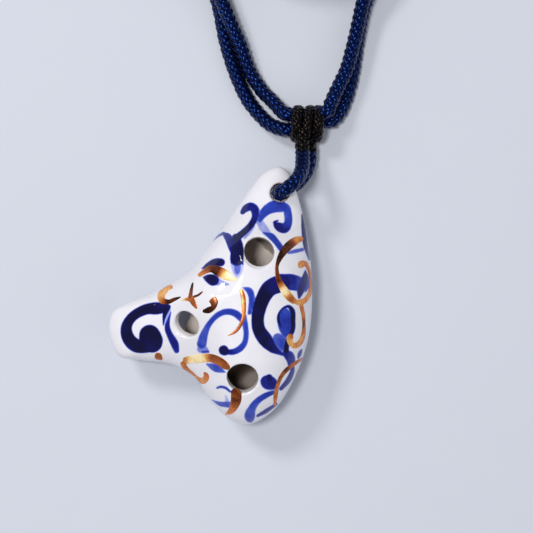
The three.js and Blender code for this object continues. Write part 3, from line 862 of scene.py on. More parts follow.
@dataclass(frozen=True)
class GiltFinish:
    """Fired gold line, brown to pale by its tone; its palest, brightest parts are painted
    highlights.
    """

    # The palest stops are the colour of the painted highlights.
    tones: tuple = (
        (0.0, linear(46, 19, 6)),
        (0.2, linear(122, 54, 18)),
        (0.5, linear(212, 120, 58)),
        (0.75, linear(248, 184, 104)),
        (1.0, linear(255, 238, 184)),
    )
    drag_scale: float = 1400
    patch_scale: float = 420
    patchiness: float = 0.6
    painted_highlight_edge: tuple = (0.6, 0.95)
    metal: float = 0.55
    metal_lost: float = -0.45
    roughness: float = 0.2
    drag_roughness: float = 0.16
    drag_depth: float = 0.00001

    def material(self) -> Material:
        """The material of the gilt strokes."""
        s = Shading("fired_gilt")
        drag = s.noise(self.drag_scale, 1)
        patches = s.around(s.noise(self.patch_scale, 1), self.patchiness)
        tone = s.math("ADD", patches, s.value("gilt_tone_and_painted_highlight"))
        # The pale end of the tone is painted highlight; the metal is taken down there so that its
        # colour shows.
        pale = s.ease(tone, *self.painted_highlight_edge)
        return s.finish(
            Base_Color=s.ramp(tone, self.tones),
            Metallic=s.math("MULTIPLY_ADD", pale, self.metal_lost, self.metal),
            Roughness=s.math("MULTIPLY_ADD", drag, self.drag_roughness, self.roughness),
            Normal=s.bump(drag, self.drag_depth),
        )


@dataclass(frozen=True)
class BraidFinish:
    """Nearly black navy thread with a silky blue light on each strand."""

    name: str = "navy_braid"
    thread: tuple = linear(6, 10, 50)
    shadow: tuple = linear(1, 1, 8)
    gleam: tuple = linear(70, 125, 255)
    threads_round: float = 6.0
    twist: float = 0.5
    fibre_scale: float = 900
    roughness: float = 0.26
    index: float = 1.52
    ply_depth: float = 0.000003

    def material(self) -> Material:
        """The material of the cords and their knot."""
        s = Shading(self.name)
        along, around, _ = s.parts(s.add("UVMap", {}).outputs["UV"])
        lay = s.math("MULTIPLY_ADD", along, self.twist, around)
        ply = s.math("SINE", s.math("MULTIPLY", lay, FULL_TURN * self.threads_round))
        height = s.math("MULTIPLY_ADD", ply, 0.5, 0.5)
        lit = s.math("MULTIPLY", height, s.noise(self.fibre_scale))
        return s.finish(
            Base_Color=s.mix(lit, self.shadow, self.thread),
            Roughness=self.roughness,
            IOR=self.index,
            Specular_IOR_Level=1.0,
            Specular_Tint=self.gleam,
            Normal=s.bump(height, self.ply_depth),
        )


@dataclass(frozen=True)
class BandFinish:
    """Woven band of dark thread."""

    dark: tuple = linear(24, 27, 48)
    pale: tuple = linear(52, 58, 88)
    rows_per_metre: float = 2200.0
    roughness: float = 0.8
    sheen: float = 0.3
    weave_depth: float = 0.00008

    def material(self) -> Material:
        """The material of the tie round the coil."""
        s = Shading("woven_band")
        x, y, z = (s.math("SINE", s.math("MULTIPLY", part, FULL_TURN * self.rows_per_metre))
                   for part in s.parts(s.place()))
        height = s.ease(s.math("MULTIPLY", x, s.math("ADD", y, z)), -1.0, 1.0)
        return s.finish(
            # Painted shade and light: the weave's low places are darker and its raised threads
            # paler.
            Base_Color=s.mix(height, self.dark, self.pale),
            Roughness=self.roughness,
            Sheen_Weight=self.sheen,
            Normal=s.bump(height, self.weave_depth),
        )


@dataclass(frozen=True)
class FloorFinish:
    """Plain pale board."""

    colour: tuple = linear(204, 208, 218)
    mottle: tuple = linear(184, 190, 204)
    mottle_scale: float = 60
    mottle_share: float = 0.1
    roughness: float = 0.9
    shine: float = 0.2

    def material(self) -> Material:
        """The material of the floor."""
        s = Shading("pale_floor")
        share = s.math("MULTIPLY", s.noise(self.mottle_scale), self.mottle_share)
        return s.finish(Base_Color=s.mix(share, self.colour, self.mottle),
                        Roughness=self.roughness, Specular_IOR_Level=self.shine)


def dress(obj: Object, material: Material) -> None:
    """Gives a piece its material."""
    obj.data.materials.clear()
    obj.data.materials.append(material)


# Porcelain pieces


@dataclass(frozen=True)
class Hole:
    """A round hole for a finger or the thumb, leaning from upright toward square to its dome."""

    name: str
    shares: tuple
    diameter: float
    lean: float = 1.0
    at_back: bool = False


@dataclass
class Porcelain:
    """The flute: front half, back half and mouthpiece, cut from one modelled form."""

    form: FluteForm
    tip: float = -0.0271
    joint_from_tip: float = 0.015
    joint_cover: float = 0.0006
    lug_floor: float = 0.021
    windway_width: float = 0.008
    windway_height: float = 0.0016
    windway_floor: float = 0.0012
    mouth_slot_drop: float = 0.0004
    window_length: float = 0.005
    labium_length: float = 0.009
    labium_slope: float = math.radians(35)
    holes: tuple = (
        Hole("upper_hole", (0.244, 0.171), 0.0079, lean=0.3),
        Hole("left_hole", (-0.113, -0.109), 0.0071),
        Hole("lower_hole", (0.16, -0.314), 0.0082),
        Hole("thumb_hole", (0.283, -0.213), 0.0074, at_back=True),
    )
    hole_rim: float = 0.0009
    hanging_shares: tuple = (0.342, 0.396)
    hanging_hole: float = 0.0048
    hanging_rim: float = 0.0004
    rim_steps: int = 7
    overrun: float = 0.004
    windway_start_shares: tuple = (-0.5, -0.14)
    windway_end_shares: tuple = (-0.224, -0.116)
    voxel: float = 0.0003
    quick_voxel: float = 0.0006
    softening: float = 0.5
    softening_rounds: int = 4
    trued_facing: tuple = (0.9, 0.985)
    trued_reach: tuple = (0.0003, 0.0006)
    trued_rounds: int = 3
    glaze_depth: float = 0.0008
    bare_from: tuple = (0.0004, 0.0012)
    bare_beyond: tuple = (0.0022, 0.003)
    shaded_bore_edge: tuple = (0.0001, 0.0004)
    sharp: float = math.radians(45)
    finish: PorcelainFinish = field(default_factory=PorcelainFinish)

    @property
    def joint(self) -> float:
        """Where the mouthpiece meets the body, along X."""
        return self.tip + self.joint_from_tip

    def rim_rings(self, radius: float, rounding: float, face: float, side: int) -> list:
        """Rings of a hole's soft rim, from the bore out to the face that it opens in."""
        return [(radius + rounding * (1 - math.cos(t)), face - side * rounding * (1 - math.sin(t)))
                for t in np.linspace(0, QUARTER_TURN, self.rim_steps)]

    def hole_cutter(self, hole: Hole) -> Object:
        """A cutter for a finger or thumb hole with its soft rim."""
        dome = self.form.back if hole.at_back else self.form.front
        points, normals = self.form.seat(self.form.plan(hole.shares), dome)
        upright = Vector((0, 0, dome.side))
        heading = (upright + (Vector(normals[0]) - upright) * hole.lean).normalized()
        radius = hole.diameter / 2
        rings = [(radius, -self.form.wall - self.overrun / 2)]
        rings += self.rim_rings(radius, self.hole_rim, 0, 1)
        rings.append((radius + self.hole_rim, self.overrun))
        cutter = turned(hole.name, rings)
        turn = Vector((0, 0, 1)).rotation_difference(heading).to_matrix().to_4x4()
        cutter.data.transform(Matrix.Translation(points[0]) @ turn)
        return cutter

    def hanging_cutter(self) -> Object:
        """A cutter for the hole through the lug, rounded at both faces."""
        plan = self.form.plan(self.hanging_shares)
        radius = self.hanging_hole / 2
        top = float(self.form.surface(plan, self.form.front))
        bottom = float(self.form.surface(plan, self.form.back))
        low = self.rim_rings(radius, self.hanging_rim, bottom, -1)[::-1]
        high = self.rim_rings(radius, self.hanging_rim, top, 1)
        wide = radius + self.hanging_rim
        rings = [(wide, bottom - self.overrun), *low, *high, (wide, top + self.overrun)]
        cutter = turned("hanging_hole", rings)
        cutter.data.transform(Matrix.Translation((*plan, 0)))
        return cutter

    def windway_exit(self) -> Vector:
        """The middle of the windway where it opens into the window."""
        plan = self.form.plan(self.windway_end_shares)
        plan[0] = self.joint
        floor = float(self.form.surface(plan, self.form.back)) + self.windway_floor
        return Vector((*plan, floor + self.windway_height / 2))

    def windway_cutter(self) -> Object:
        """A cutter for the slot that carries the breath down to the window."""
        mouth = self.form.plan(self.windway_start_shares)
        start = Vector((*mouth, self.form.seam - self.mouth_slot_drop))
        end = self.windway_exit()
        run = end - start
        size = (run.length + self.overrun, self.windway_width, self.windway_height)
        centre = (start + end) / 2 - run.normalized() * self.overrun / 2
        return block("windway", size, centre, Vector((1, 0, 0)).rotation_difference(run))

    def window_cutters(self) -> list:
        """Cutters for the window and for the ramp that leaves the labium's edge."""
        leave = self.windway_exit()
        far = self.joint + self.window_length
        high = leave.z + self.windway_height
        low = -self.overrun
        middle = Vector((self.joint + self.window_length / 2, leave.y, (high + low) / 2))
        size = (self.window_length, self.windway_width, high - low)
        window = block("window", size, middle, Quaternion())
        edge = float(self.form.surface(np.array([far, leave.y]), self.form.back)) + self.form.wall
        turn = Quaternion((0, 1, 0), self.labium_slope)
        run = self.labium_length / math.cos(self.labium_slope)
        depth = 2 * self.overrun
        centre = Vector((far, leave.y, edge)) + turn @ Vector((run / 2, 0, -depth / 2))
        return [window, block("labium", (run, self.windway_width, depth), centre, turn)]

    def hollow(self) -> Object:
        """The chamber, which ends flat at the joint and short of the solid lug."""
        chamber = self.form.pressed("chamber", self.form.wall)
        size = self.form.length
        mouth = Vector((self.joint - size / 2, 0, self.form.seam))
        cut_away(chamber, block("mouth_end", (size,) * 3, mouth, Quaternion()))
        heading = Vector((*self.form.lug_heading, 0))
        lug = Vector((*self.form.crown, self.form.seam)) + heading * (self.lug_floor + size / 2)
        turn = Vector((0, 1, 0)).rotation_difference(heading)
        cut_away(chamber, block("lug_end", (size,) * 3, lug, turn))
        return chamber

    def whole(self) -> Object:
        """The flute in one piece: pressed, hollowed, drilled and softened."""
        flute = self.form.pressed("flute")
        size = self.form.length
        under = Vector((0, 0, -size / 2))
        cut_away(flute, block("foot", (2 * size, 2 * size, size), under, Quaternion()))
        cutters = [
            self.hollow(),
            *map(self.hole_cutter, self.holes),
            self.hanging_cutter(),
            self.windway_cutter(),
            *self.window_cutters(),
        ]
        for cutter in cutters:
            cut_away(flute, cutter)
        voxel = self.voxel
        shape_with(flute, "REMESH", mode="VOXEL", voxel_size=voxel, use_smooth_shade=True)
        shape_with(flute, "SMOOTH", factor=self.softening, iterations=self.softening_rounds)
        self.trued(flute)
        return flute

    def trued(self, flute: Object) -> None:
        """Brings the outer face exactly back to its form, away from rims and cut edges."""
        points, normals = mesh_points(flute), mesh_normals(flute)
        for _ in range(self.trued_rounds):
            past, outward = self.form.outside(points)
            facing = smoothstep(np.einsum("ij,ij->i", normals, outward), *self.trued_facing)
            close = 1 - smoothstep(np.abs(past), *self.trued_reach)
            points = points - (facing * close * past)[:, None] * outward
        points[:, 2] = np.maximum(points[:, 2], 0)
        place_points(flute, points)

    def painted(self, flute: Object) -> None:
        """Keeps on each vertex where the cobalt lies and where the clay is bare, the lug's bore
        included so that it takes the clay's painted shade.
        """
        points = mesh_points(flute)
        past, _ = self.form.outside(points)
        depth = np.full(len(points), -1.0)
        fullness = np.zeros(len(points))
        up = points[:, 2] >= self.form.seam
        for strokes, side, half in ((COBALT_FRONT, Side.FRONT, up), (COBALT_BACK, Side.BACK, ~up)):
            skin = np.flatnonzero(half & (past > -self.glaze_depth))
            depth[skin], fullness[skin] = Drawing(side).painted(strokes, points[skin])
        record_values(flute, "cobalt_depth", depth)
        record_values(flute, "cobalt_fullness", fullness)
        bare = 0.5 * smoothstep(-past, *self.bare_from) + 0.5 * smoothstep(-past, *self.bare_beyond)
        # The lug's bore is marked bare, so that the clay's painted shade toward the lug darkens it.
        from_lug = np.linalg.norm(points[:, :2] - self.form.plan(self.hanging_shares), axis=1)
        bore = 1 - smoothstep(from_lug - self.hanging_hole / 2, *self.shaded_bore_edge)
        record_values(flute, "bare", np.maximum(bare, bore))

    def section(self, flute: Object, name: str, planes: list) -> Object:
        """A closed piece of the flute on one side of each plane.

        Args:
            flute: The whole flute.
            name: The piece's name.
            planes: For each cut, a point on it, its direction and the side that is dropped.

        Returns:
            The new piece.
        """
        piece = flute.copy()
        piece.data = flute.data.copy()
        piece.name = piece.data.name = name
        bpy.context.scene.collection.objects.link(piece)
        choose(piece)
        bpy.ops.object.mode_set(mode="EDIT")
        for point, direction, drop_out in planes:
            bpy.ops.mesh.select_all(action="SELECT")
            bpy.ops.mesh.bisect(
                plane_co=point, plane_no=direction, clear_outer=drop_out, clear_inner=not drop_out)
            bpy.ops.mesh.fill(use_beauty=True)
        bpy.ops.object.mode_set(mode="OBJECT")
        bpy.ops.object.shade_smooth_by_angle(angle=self.sharp)
        return piece

    def build(self) -> list:
        """Makes the three porcelain pieces and puts them in place of the solids."""
        flute = self.whole()
        self.painted(flute)
        joint = ((self.joint - self.joint_cover, 0, 0), (1, 0, 0))
        seam = ((0, 0, self.form.seam), (0, 0, 1))
        cuts = {
            "porcelain_front": ("front_shell", [(*joint, False), (*seam, False)]),
            "porcelain_back": ("back_shell", [(*joint, False), (*seam, True)]),
            "porcelain_mouthpiece": ("mouthpiece", [(*joint, True)]),
        }
        material = self.finish.material()
        pieces = []
        for name, (node, planes) in cuts.items():
            piece = self.section(flute, name, planes)
            dress(piece, material)
            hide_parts(node)
            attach(piece, "ocarina")
            pieces.append(piece)
        bpy.data.objects.remove(flute)
        return pieces


@dataclass
class GiltLines:
    """The gilt strokes, each a thin domed line of gold that lies on the glaze."""

    form: FluteForm
    rise: float = 0.0001
    depth: float = 0.00008
    step: float = 5.0
    blunt: float = 2.0
    least: float = 0.6
    across: tuple = (-1.0, -0.92, -0.7, -0.35, 0.0, 0.35, 0.7, 0.92, 1.0)
    finish: GiltFinish = field(default_factory=GiltFinish)

    def rounded(self, stroke: Stroke) -> np.ndarray:
        """The stroke's middle line, evenly stepped and rounded at both ends."""
        line = evenly(stroke.line(), self.step)
        width = line[:, 2].copy()
        along = np.arange(len(line)) * self.step
        for reach, end in ((along, 0), (along[-1] - along, -1)):
            blunt = max(width[end], self.blunt)
            near = np.clip(reach / blunt, 0, 1)
            rounding = np.maximum(blunt * np.sqrt(1 - (1 - near) ** 2), self.least)
            width = np.minimum(width, rounding + reach)
        line[:, 2] = np.maximum(width, self.least)
        return line

    def ribbon(self, stroke: Stroke, drawing: Drawing) -> tuple:
        """Points, faces and tone of one stroke, whose values near one are painted highlights."""
        line = self.rounded(stroke)
        along = unit(np.gradient(line[:, :2], axis=0))
        side = np.column_stack([along[:, 1], -along[:, 0]])
        shares = np.array(self.across)
        places = line[:, None, :2] + side[:, None] * (line[:, 2:3] * shares)[..., None]
        points, facing = drawing.laid_on(self.form, places.reshape(-1, 2))
        points, facing = (a.reshape(len(line), -1, 3) for a in (points, facing))
        lift = self.rise * np.sqrt(np.maximum(0, 1 - shares**2))
        lift -= self.depth * (np.abs(shares) == 1)
        top = points + facing * lift[None, :, None]
        under = points[:, [-2, 1]] - facing[:, [-2, 1]] * self.depth
        rings = np.concatenate([top, under], axis=1)
        rings[..., 2] = np.maximum(rings[..., 2], 0)
        rows, count = rings.shape[:2]
        faces = lattice(rows, count).tolist() + end_faces(rows, count)
        return rings.reshape(-1, 3), faces, np.repeat(line[:, 3], count)

    def build(self) -> list:
        """Makes one gilt piece for each face of the flute."""
        material = self.finish.material()
        pieces = []
        for name, strokes, side in (("gilt_front", GILT_FRONT, Side.FRONT),
                                    ("gilt_back", GILT_BACK, Side.BACK)):
            points, faces, gilt_tone_and_painted_highlight = [], [], []
            for stroke in strokes:
                new_points, new_faces, tones = self.ribbon(stroke, Drawing(side))
                start = sum(len(p) for p in points)
                points.append(new_points)
                gilt_tone_and_painted_highlight.append(tones)
                faces += [tuple(start + i for i in face) for face in new_faces]
            piece = new_piece(name, np.vstack(points), faces)
            # Each vertex keeps the gold's tone, with its painted highlights.
            record_values(piece, "gilt_tone_and_painted_highlight", np.concatenate(gilt_tone_and_painted_highlight))
            face_outward(piece)
            dress(piece, material)
            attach(piece, "ocarina")
            pieces.append(piece)
        return pieces


# Braided cord


@dataclass(frozen=True)
class Braid:
    """A round braid of strands that pass over and under each other round a core."""

    diameter: float = 0.0042
    each_way: int = 4
    lay: float = 0.0076
    steps_per_lay: int = 18
    sides: int = 6
    swing: float = 0.0003
    strand_half_width: float = 0.00084
    strand_half_depth: float = 0.0005
    core_share: float = 0.42
    core_sides: int = 4
    least_lean: float = 0.1

    def frames(self, line: np.ndarray) -> tuple:
        """Two directions square to a line at each point, which never twist about it."""
        heading = unit(np.gradient(line, axis=0))
        across = np.empty_like(heading)
        start = np.cross(heading[0], (0.0, 0.0, 1.0))
        upright = np.linalg.norm(start) <= self.least_lean
        across[0] = unit(np.cross(heading[0], (1.0, 0.0, 0.0)) if upright else start)
        for i in range(1, len(line)):
            kept = across[i - 1] - heading[i] * (across[i - 1] @ heading[i])
            across[i] = kept / math.sqrt(kept @ kept)
        return across, np.cross(heading, across)

    @staticmethod
    def tube(line: np.ndarray, outward: np.ndarray, half_width: float, half_depth: float,
             sides: int) -> np.ndarray:
        """Rings of points round a line, flattened toward a direction."""
        heading = unit(np.gradient(line, axis=0))
        across = unit(np.cross(heading, outward))
        up = np.cross(across, heading)
        turn = FULL_TURN * (np.arange(sides) + 0.5) / sides
        return (line[:, None] + across[:, None] * (half_width * np.cos(turn))[None, :, None]
                + up[:, None] * (half_depth * np.sin(turn))[None, :, None])

    def build(self, name: str, route: np.ndarray, flat: float = 1.0,
              outward: np.ndarray | None = None) -> Object:
        """A braid along a route.

        Args:
            name: Name of the new object.
            route: Points of its middle line, close together.
            flat: Share of its thickness that is left where it is pressed flat.
            outward: The direction of its flat face at each point of the route, if it has one.

        Returns:
            The braid's mesh object.
        """
        step = self.lay / self.steps_per_lay
        rows = route if outward is None else np.column_stack([route, outward])
        rows = evenly(rows, step, measured=3)
        line = rows[:, :3]
        if outward is None:
            first, second = self.frames(line)
        else:
            heading = unit(np.gradient(line, axis=0))
            second = unit(rows[:, 3:])
            first = unit(np.cross(heading, second))
        along = np.arange(len(line)) * step
        middle = self.diameter / 2 - self.strand_half_depth - self.swing
        weave = self.swing * np.cos(FULL_TURN * self.each_way * along / self.lay)
        core = self.core_share * self.diameter / 2
        tubes = [self.tube(line, second, core, core, self.core_sides)]
        for way in (1, -1):
            for strand in range(self.each_way):
                angle = FULL_TURN * (way * along / self.lay + strand / self.each_way)
                out = first * np.cos(angle)[:, None] + second * (flat * np.sin(angle))[:, None]
                radius = (middle + way * weave)[:, None]
                tubes.append(self.tube(line + out * radius, out, self.strand_half_width,
                                       self.strand_half_depth, self.sides))
        return self.joined(name, tubes, along)

    @staticmethod
    def joined(name: str, tubes: list, along: np.ndarray) -> Object:
        """One mesh object of closed tubes, with a UV map along and round each."""
        points, faces, ends, places, start = [], [], [], [], 0
        for rings in tubes:
            count, sides = rings.shape[:2]
            points.append(rings.reshape(-1, 3))
            faces.append(start + lattice(count, sides))
            ends += end_faces(count, sides, start)
            start += count * sides
            shape = (count - 1, sides)
            here, ahead = (np.broadcast_to(run[:, None] / MILLIMETRE, shape)
                           for run in (along[:-1], along[1:]))
            low = np.broadcast_to(np.arange(sides) / sides, shape)
            high = low + 1 / sides
            corners = [(here, low), (here, high), (ahead, high), (ahead, low)]
            places.append(np.stack([np.stack(c, -1) for c in corners], 2).reshape(-1, 2))
        quads = np.vstack(faces)
        obj = new_piece(name, np.vstack(points), quads.tolist() + ends)
        layer = obj.data.uv_layers.new(name="strand")
        spare = len(obj.data.loops) - 4 * len(quads)
        layer.data.foreach_set("uv", np.vstack([*places, np.zeros((spare, 2))]).ravel())
        return obj


@dataclass
class CoilForm:
    """The coil in which one neck cord is put away: in to the middle, up a layer and out."""

    first_layer: int
    centre: tuple = (0.0218, 0.114)
    radius: float = 0.022
    pitch: float = 0.00455
    turns: float = 4.5
    lowest: float = 0.0031
    climb_turns: float = 0.5
    steps_per_turn: int = 24

    def line(self) -> np.ndarray:
        """Points of the coil's middle line."""
        turn = np.arange(round(self.turns * self.steps_per_turn) + 1) / self.steps_per_turn
        middle = self.turns / 2
        innermost = self.radius - self.pitch * self.turns / 4
        radius = innermost + self.pitch * np.abs(turn - middle)
        angle = math.pi - FULL_TURN * turn
        climb = smoothstep(turn, middle - self.climb_turns / 2, middle + self.climb_turns / 2)
        return np.column_stack([
            self.centre[0] + radius * np.cos(angle),
            self.centre[1] + radius * np.sin(angle),
            self.lowest + self.pitch * (self.first_layer + climb),
        ])


# Routes of the cords, all from the knot on. Each neck cord has one to the coil on the left and
# one on the right. The connector's goes through the lug and back.
LEFT_OUTER = (
    (0.02115, 0.0448, 0.0052), (0.0202, 0.0448, 0.0052), (0.0185, 0.0452, 0.0046),
    (0.0157, 0.0465, 0.0033), (0.0131, 0.049, 0.0024), (0.01, 0.0529, 0.0021),
    (0.0068, 0.0596, 0.0021), (0.0039, 0.0687, 0.0021), (0.0018, 0.0791, 0.0022),
    (-0.0014, 0.0885, 0.0026), (-0.0042, 0.0975, 0.003), (-0.0054, 0.1054, 0.0031),
    (-0.00545, 0.1097, 0.0031),
)
LEFT_INNER = (
    (0.02115, 0.0488, 0.007), (0.0201, 0.0488, 0.007), (0.0187, 0.0501, 0.0061),
    (0.0163, 0.0529, 0.0044), (0.0139, 0.0553, 0.0034), (0.0103, 0.061, 0.0034),
    (0.0077, 0.0682, 0.0043), (0.0053, 0.0735, 0.0059), (0.0031, 0.0789, 0.0069),
    (-0.001, 0.088, 0.0086), (-0.0042, 0.097, 0.0107), (-0.0054, 0.1054, 0.0122),
    (-0.00545, 0.1097, 0.0122),
)
RIGHT_OUTER = (
    (0.03085, 0.0472, 0.0038), (0.0322, 0.0471, 0.0038), (0.0345, 0.049, 0.0028),
    (0.0365, 0.0531, 0.0021), (0.0382, 0.0592, 0.0021), (0.0394, 0.0666, 0.0021),
    (0.0406, 0.0738, 0.0021), (0.0418, 0.0789, 0.0024), (0.0449, 0.088, 0.004),
    (0.0479, 0.097, 0.0063), (0.049, 0.1054, 0.00765), (0.04905, 0.1097, 0.00765),
)
RIGHT_INNER = (
    (0.03085, 0.0493, 0.0083), (0.0315, 0.0496, 0.0083), (0.0324, 0.052, 0.0079),
    (0.0341, 0.0557, 0.0071), (0.0366, 0.061, 0.0065), (0.038, 0.066, 0.0064),
    (0.039, 0.07, 0.0064), (0.0401, 0.075, 0.0066), (0.0409, 0.0787, 0.0072),
    (0.0443, 0.0882, 0.0108), (0.0477, 0.097, 0.0148), (0.049, 0.1054, 0.01675),
    (0.04905, 0.1097, 0.01675),
)
CONNECTOR = (
    (0.0252, 0.0452, 0.0074), (0.0247, 0.043, 0.0085),
    (0.0245, 0.0405, 0.0094), (0.0246, 0.0386, 0.01), (0.0246, 0.036, 0.0122),
    (0.0243, 0.0334, 0.0152), (0.0232, 0.031, 0.0178), (0.0213, 0.029, 0.0191),
    (0.0196, 0.0279, 0.019), (0.0184, 0.0273, 0.0174), (0.0183, 0.0272, 0.015),
    (0.01856, 0.0273, 0.0121), (0.0186, 0.0273, 0.0092), (0.01895, 0.0275, 0.0069),
    (0.0201, 0.0281, 0.0052), (0.022, 0.0293, 0.0047), (0.0242, 0.0312, 0.0047),
    (0.0259, 0.0338, 0.0047), (0.0266, 0.0366, 0.0048), (0.0267, 0.0386, 0.0048),
    (0.0266, 0.0405, 0.0048), (0.0263, 0.043, 0.005), (0.026, 0.0452, 0.0054),
)


@dataclass
class Cords:
    """The connector loop, its wrap knot and the two neck cords with their tie."""

    braid: Braid = field(default_factory=Braid)
    knot_centre: tuple = (0.026, 0.0463, 0.006)
    wrap_braid: Braid = Braid(0.0033, lay=0.0062, swing=0.00024, strand_half_width=0.00066,
                              strand_half_depth=0.00039)
    wrap_radius: float = 0.0040
    wrap_offset: float = 0.00305
    wrap_flat: float = 0.62
    wrap_turns: float = 3.1
    wrap_steps: int = 180
    wrap_slant: tuple = (0.1, 0.9)
    tucked_radius: float = 0.0016
    tuck_turn: float = 0.9
    wrap_start: float = 0.6 * math.pi
    inside_knot: tuple = ((-0.0012, -0.0016, 0.0), (-0.0012, 0.0018, 0.0006))
    neck_steps: int = 6
    loop_steps: int = 8
    dark_from: float = 0.0386
    tie_thickness: float = 0.0008
    tie_rounding: float = 0.002
    tie_step: float = 0.0008
    tie_columns: int = 7
    tie_corner_steps: int = 7
    tie_sharp: float = math.radians(50)
    finish: BraidFinish = field(default_factory=BraidFinish)
    dark: BraidFinish = BraidFinish("dark_braid", linear(8, 7, 14), linear(1, 1, 2),
                                    linear(104, 92, 84))
    band: BandFinish = field(default_factory=BandFinish)

    def neck_line(self, left: tuple, right: tuple, layer: int, inside: tuple) -> np.ndarray:
        """Middle line of a neck cord from inside the knot, round the coil and back."""
        coil = CoilForm(layer).line()
        points = np.vstack([inside, left[:-1], coil, right[-2::-1], inside])
        line = through(points, per_span=self.neck_steps)
        line[:, 2] = np.maximum(line[:, 2], self.braid.diameter / 2)
        return line

    def wrap_line(self) -> tuple:
        """Middle line of the knot's wraps round the neck cords, and their outward directions.

        Both ends are tucked in under the wraps.
        """
        last = FULL_TURN * self.wrap_turns
        angle = np.linspace(0, last, self.wrap_steps + 1)
        start = angle - self.wrap_start
        out = np.column_stack([np.zeros_like(angle), -np.cos(start), np.sin(start)])
        loose = smoothstep(np.minimum(angle, last - angle), 0, self.tuck_turn)
        radius = self.tucked_radius + (self.wrap_radius - self.tucked_radius) * loose
        slant = smoothstep(angle / last, *self.wrap_slant)
        line = np.array(self.knot_centre) + out * radius[:, None]
        line[:, 0] += self.wrap_offset * (2 * slant - 1)
        return line, out

    def neck_cord(self, name: str, nodes: tuple, line: np.ndarray) -> Object:
        """One neck cord in place of its solids."""
        cord = self.braid.build(name, line)
        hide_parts(*nodes)
        return cord

    def build(self) -> list:
        material = self.finish.material()
        inside = np.array(self.knot_centre) + self.inside_knot
        outer_line = self.neck_line(LEFT_OUTER, RIGHT_OUTER, 0, inside[0])
        inner_line = self.neck_line(LEFT_INNER, RIGHT_INNER, 2, inside[1])
        outer = self.neck_cord("neck_cord_outer", (
            "neck_cord_left_outer", "coil_lower", "neck_cord_right_outer"), outer_line)
        inner = self.neck_cord("neck_cord_inner", (
            "neck_cord_left_inner", "coil_upper", "neck_cord_right_inner"), inner_line)
        wraps, facing = self.wrap_line()
        knot = self.wrap_braid.build("knot_wraps", wraps, self.wrap_flat, facing)
        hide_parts("wrap_knot")
        loop_line = through(np.array(CONNECTOR), per_span=self.loop_steps)
        loop = self.braid.build("connector_cord", loop_line)
        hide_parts("connector_loop")
        tie = self.tie()
        for cord in (outer, inner, loop):
            dress(cord, material)
        dress(knot, self.dark.material())
        self.darken(loop, knot.data.materials[0])
        for piece in (outer, inner, knot, loop, tie):
            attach(piece, "neck_cord")
        return [outer, inner, knot, loop, tie]

    def darken(self, loop: Object, dark: Material) -> None:
        """Gives the loop's end at the knot the knot's darker look."""
        loop.data.materials.append(dark)
        centres = np.empty(3 * len(loop.data.polygons))
        loop.data.polygons.foreach_get("center", centres)
        is_dark = (centres[1::3] > self.dark_from).astype(np.int32)
        loop.data.polygons.foreach_set("material_index", is_dark)

    def tie(self) -> Object:
        """The closed band round the coil, over and under it."""
        low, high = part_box("coil_tie")
        half = self.tie_thickness / 2
        rounding = self.tie_rounding
        y_low, y_high, z_low, z_high = low.y + half, high.y - half, low.z + half, high.z - half
        corners = ((y_high, z_low, -QUARTER_TURN), (y_high, z_high, 0),
                   (y_low, z_high, QUARTER_TURN), (y_low, z_low, 2 * QUARTER_TURN))
        ring = []
        for y, z, start in corners:
            y_middle = y - math.copysign(rounding, y - (y_low + y_high) / 2)
            z_middle = z - math.copysign(rounding, z - (z_low + z_high) / 2)
            ring += [(y_middle + rounding * math.cos(turn), z_middle + rounding * math.sin(turn))
                     for turn in np.linspace(start, start + QUARTER_TURN, self.tie_corner_steps)]
        ring = evenly(np.array([*ring, ring[0]]), self.tie_step)[:-1]
        columns = np.linspace(low.x, high.x, self.tie_columns)
        points = np.array([(x, y, z) for y, z in ring for x in columns])
        faces = lattice(len(ring), len(columns), rows_meet=True, columns_meet=False).tolist()
        band = new_piece("storage_tie", points, faces)
        shape_with(band, "SOLIDIFY", thickness=self.tie_thickness, offset=0)
        shape_with(band, "BEVEL", width=self.tie_thickness / 3, segments=2,
                   angle_limit=self.tie_sharp)
        face_outward(band)
        dress(band, self.band.material())
        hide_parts("coil_tie")
        return band


# Studio


@dataclass(frozen=True)
class Lamp:
    """A round soft lamp that points at the flute."""

    name: str
    place: tuple
    power: float
    size: float
    colour: tuple
    mirrored: bool = True

    def hang(self) -> None:
        """Puts the lamp in the scene."""
        light = bpy.data.lights.new(self.name, "AREA")
        light.shape = "DISK"
        light.energy, light.size, light.color = self.power, self.size, self.colour
        lamp = bpy.data.objects.new(self.name, light)
        lamp.location = self.place
        aim = Vector((*EYE, SEAM)) - Vector(self.place)
        lamp.rotation_mode = "QUATERNION"
        lamp.rotation_quaternion = aim.to_track_quat("-Z", "Y")
        lamp.visible_glossy = self.mirrored
        bpy.context.scene.collection.objects.link(lamp)


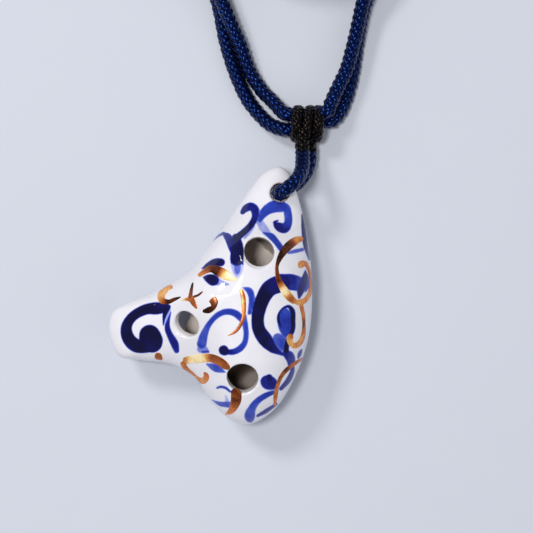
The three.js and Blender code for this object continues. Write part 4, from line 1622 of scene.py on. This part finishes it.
@dataclass
class Studio:
    """The pale floor, the soft lamps and the camera straight above the flute."""

    view_width: float = 0.1423
    sensor: float = 36.0
    nearest: float = 0.01
    floor_size: float = 3.0
    floor_parts: int = 4
    sky: tuple = (0.9, 0.93, 1, 1)
    sky_strength: float = 0.3
    lamps: tuple = (
        Lamp("key", (-0.45, 0.5, 0.8), 3.6, 0.22, (1, 0.99, 0.97)),
        Lamp("front", (-0.13, 0.05, 0.84), 3.6, 0.13, (1, 0.99, 0.98)),
        Lamp("fill", (0.7, -0.3, 0.6), 1.6, 1.0, (0.95, 0.97, 1), mirrored=False),
    )

    def camera(self) -> None:
        """Hangs the camera over the flute, as in the photograph."""
        lens = bpy.data.cameras.new("camera")
        lens.sensor_width = self.sensor
        lens.lens = self.sensor * EYE_HEIGHT / self.view_width
        lens.clip_start = self.nearest
        camera = bpy.data.objects.new("camera", lens)
        camera.location = (*EYE, SEAM + EYE_HEIGHT)
        bpy.context.scene.collection.objects.link(camera)
        bpy.context.scene.camera = camera

    def lights(self) -> None:
        """Key from the upper left, one lamp near the camera, a low fill and an even pale world."""
        for lamp in self.lamps:
            lamp.hang()
        world = bpy.data.worlds.new("studio")
        world.use_nodes = True
        background = world.node_tree.nodes["Background"]
        background.inputs["Color"].default_value = self.sky
        background.inputs["Strength"].default_value = self.sky_strength
        bpy.context.scene.world = world

    def floor(self) -> None:
        """The floor that everything lies on."""
        choose_none()
        bpy.ops.mesh.primitive_grid_add(x_subdivisions=self.floor_parts,
                                        y_subdivisions=self.floor_parts, size=self.floor_size)
        floor = bpy.context.object
        floor.name = "floor"
        floor.data.materials.append(FloorFinish().material())

    def build(self) -> None:
        """Sets up the whole studio."""
        bpy.context.scene.view_settings.view_transform = "Standard"
        self.camera()
        self.lights()
        self.floor()


def main() -> None:
    """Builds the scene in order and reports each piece."""
    logging.basicConfig(level=logging.INFO, format="%(name)s: %(message)s")
    Studio().build()
    form = FluteForm()
    pieces = Cords().build()
    pieces += Porcelain(form).build()
    pieces += GiltLines(form).build()
    for piece in pieces:
        LOG.info("%s: %d faces", piece.name, len(piece.data.polygons))


if __name__ == "__main__":
    main()
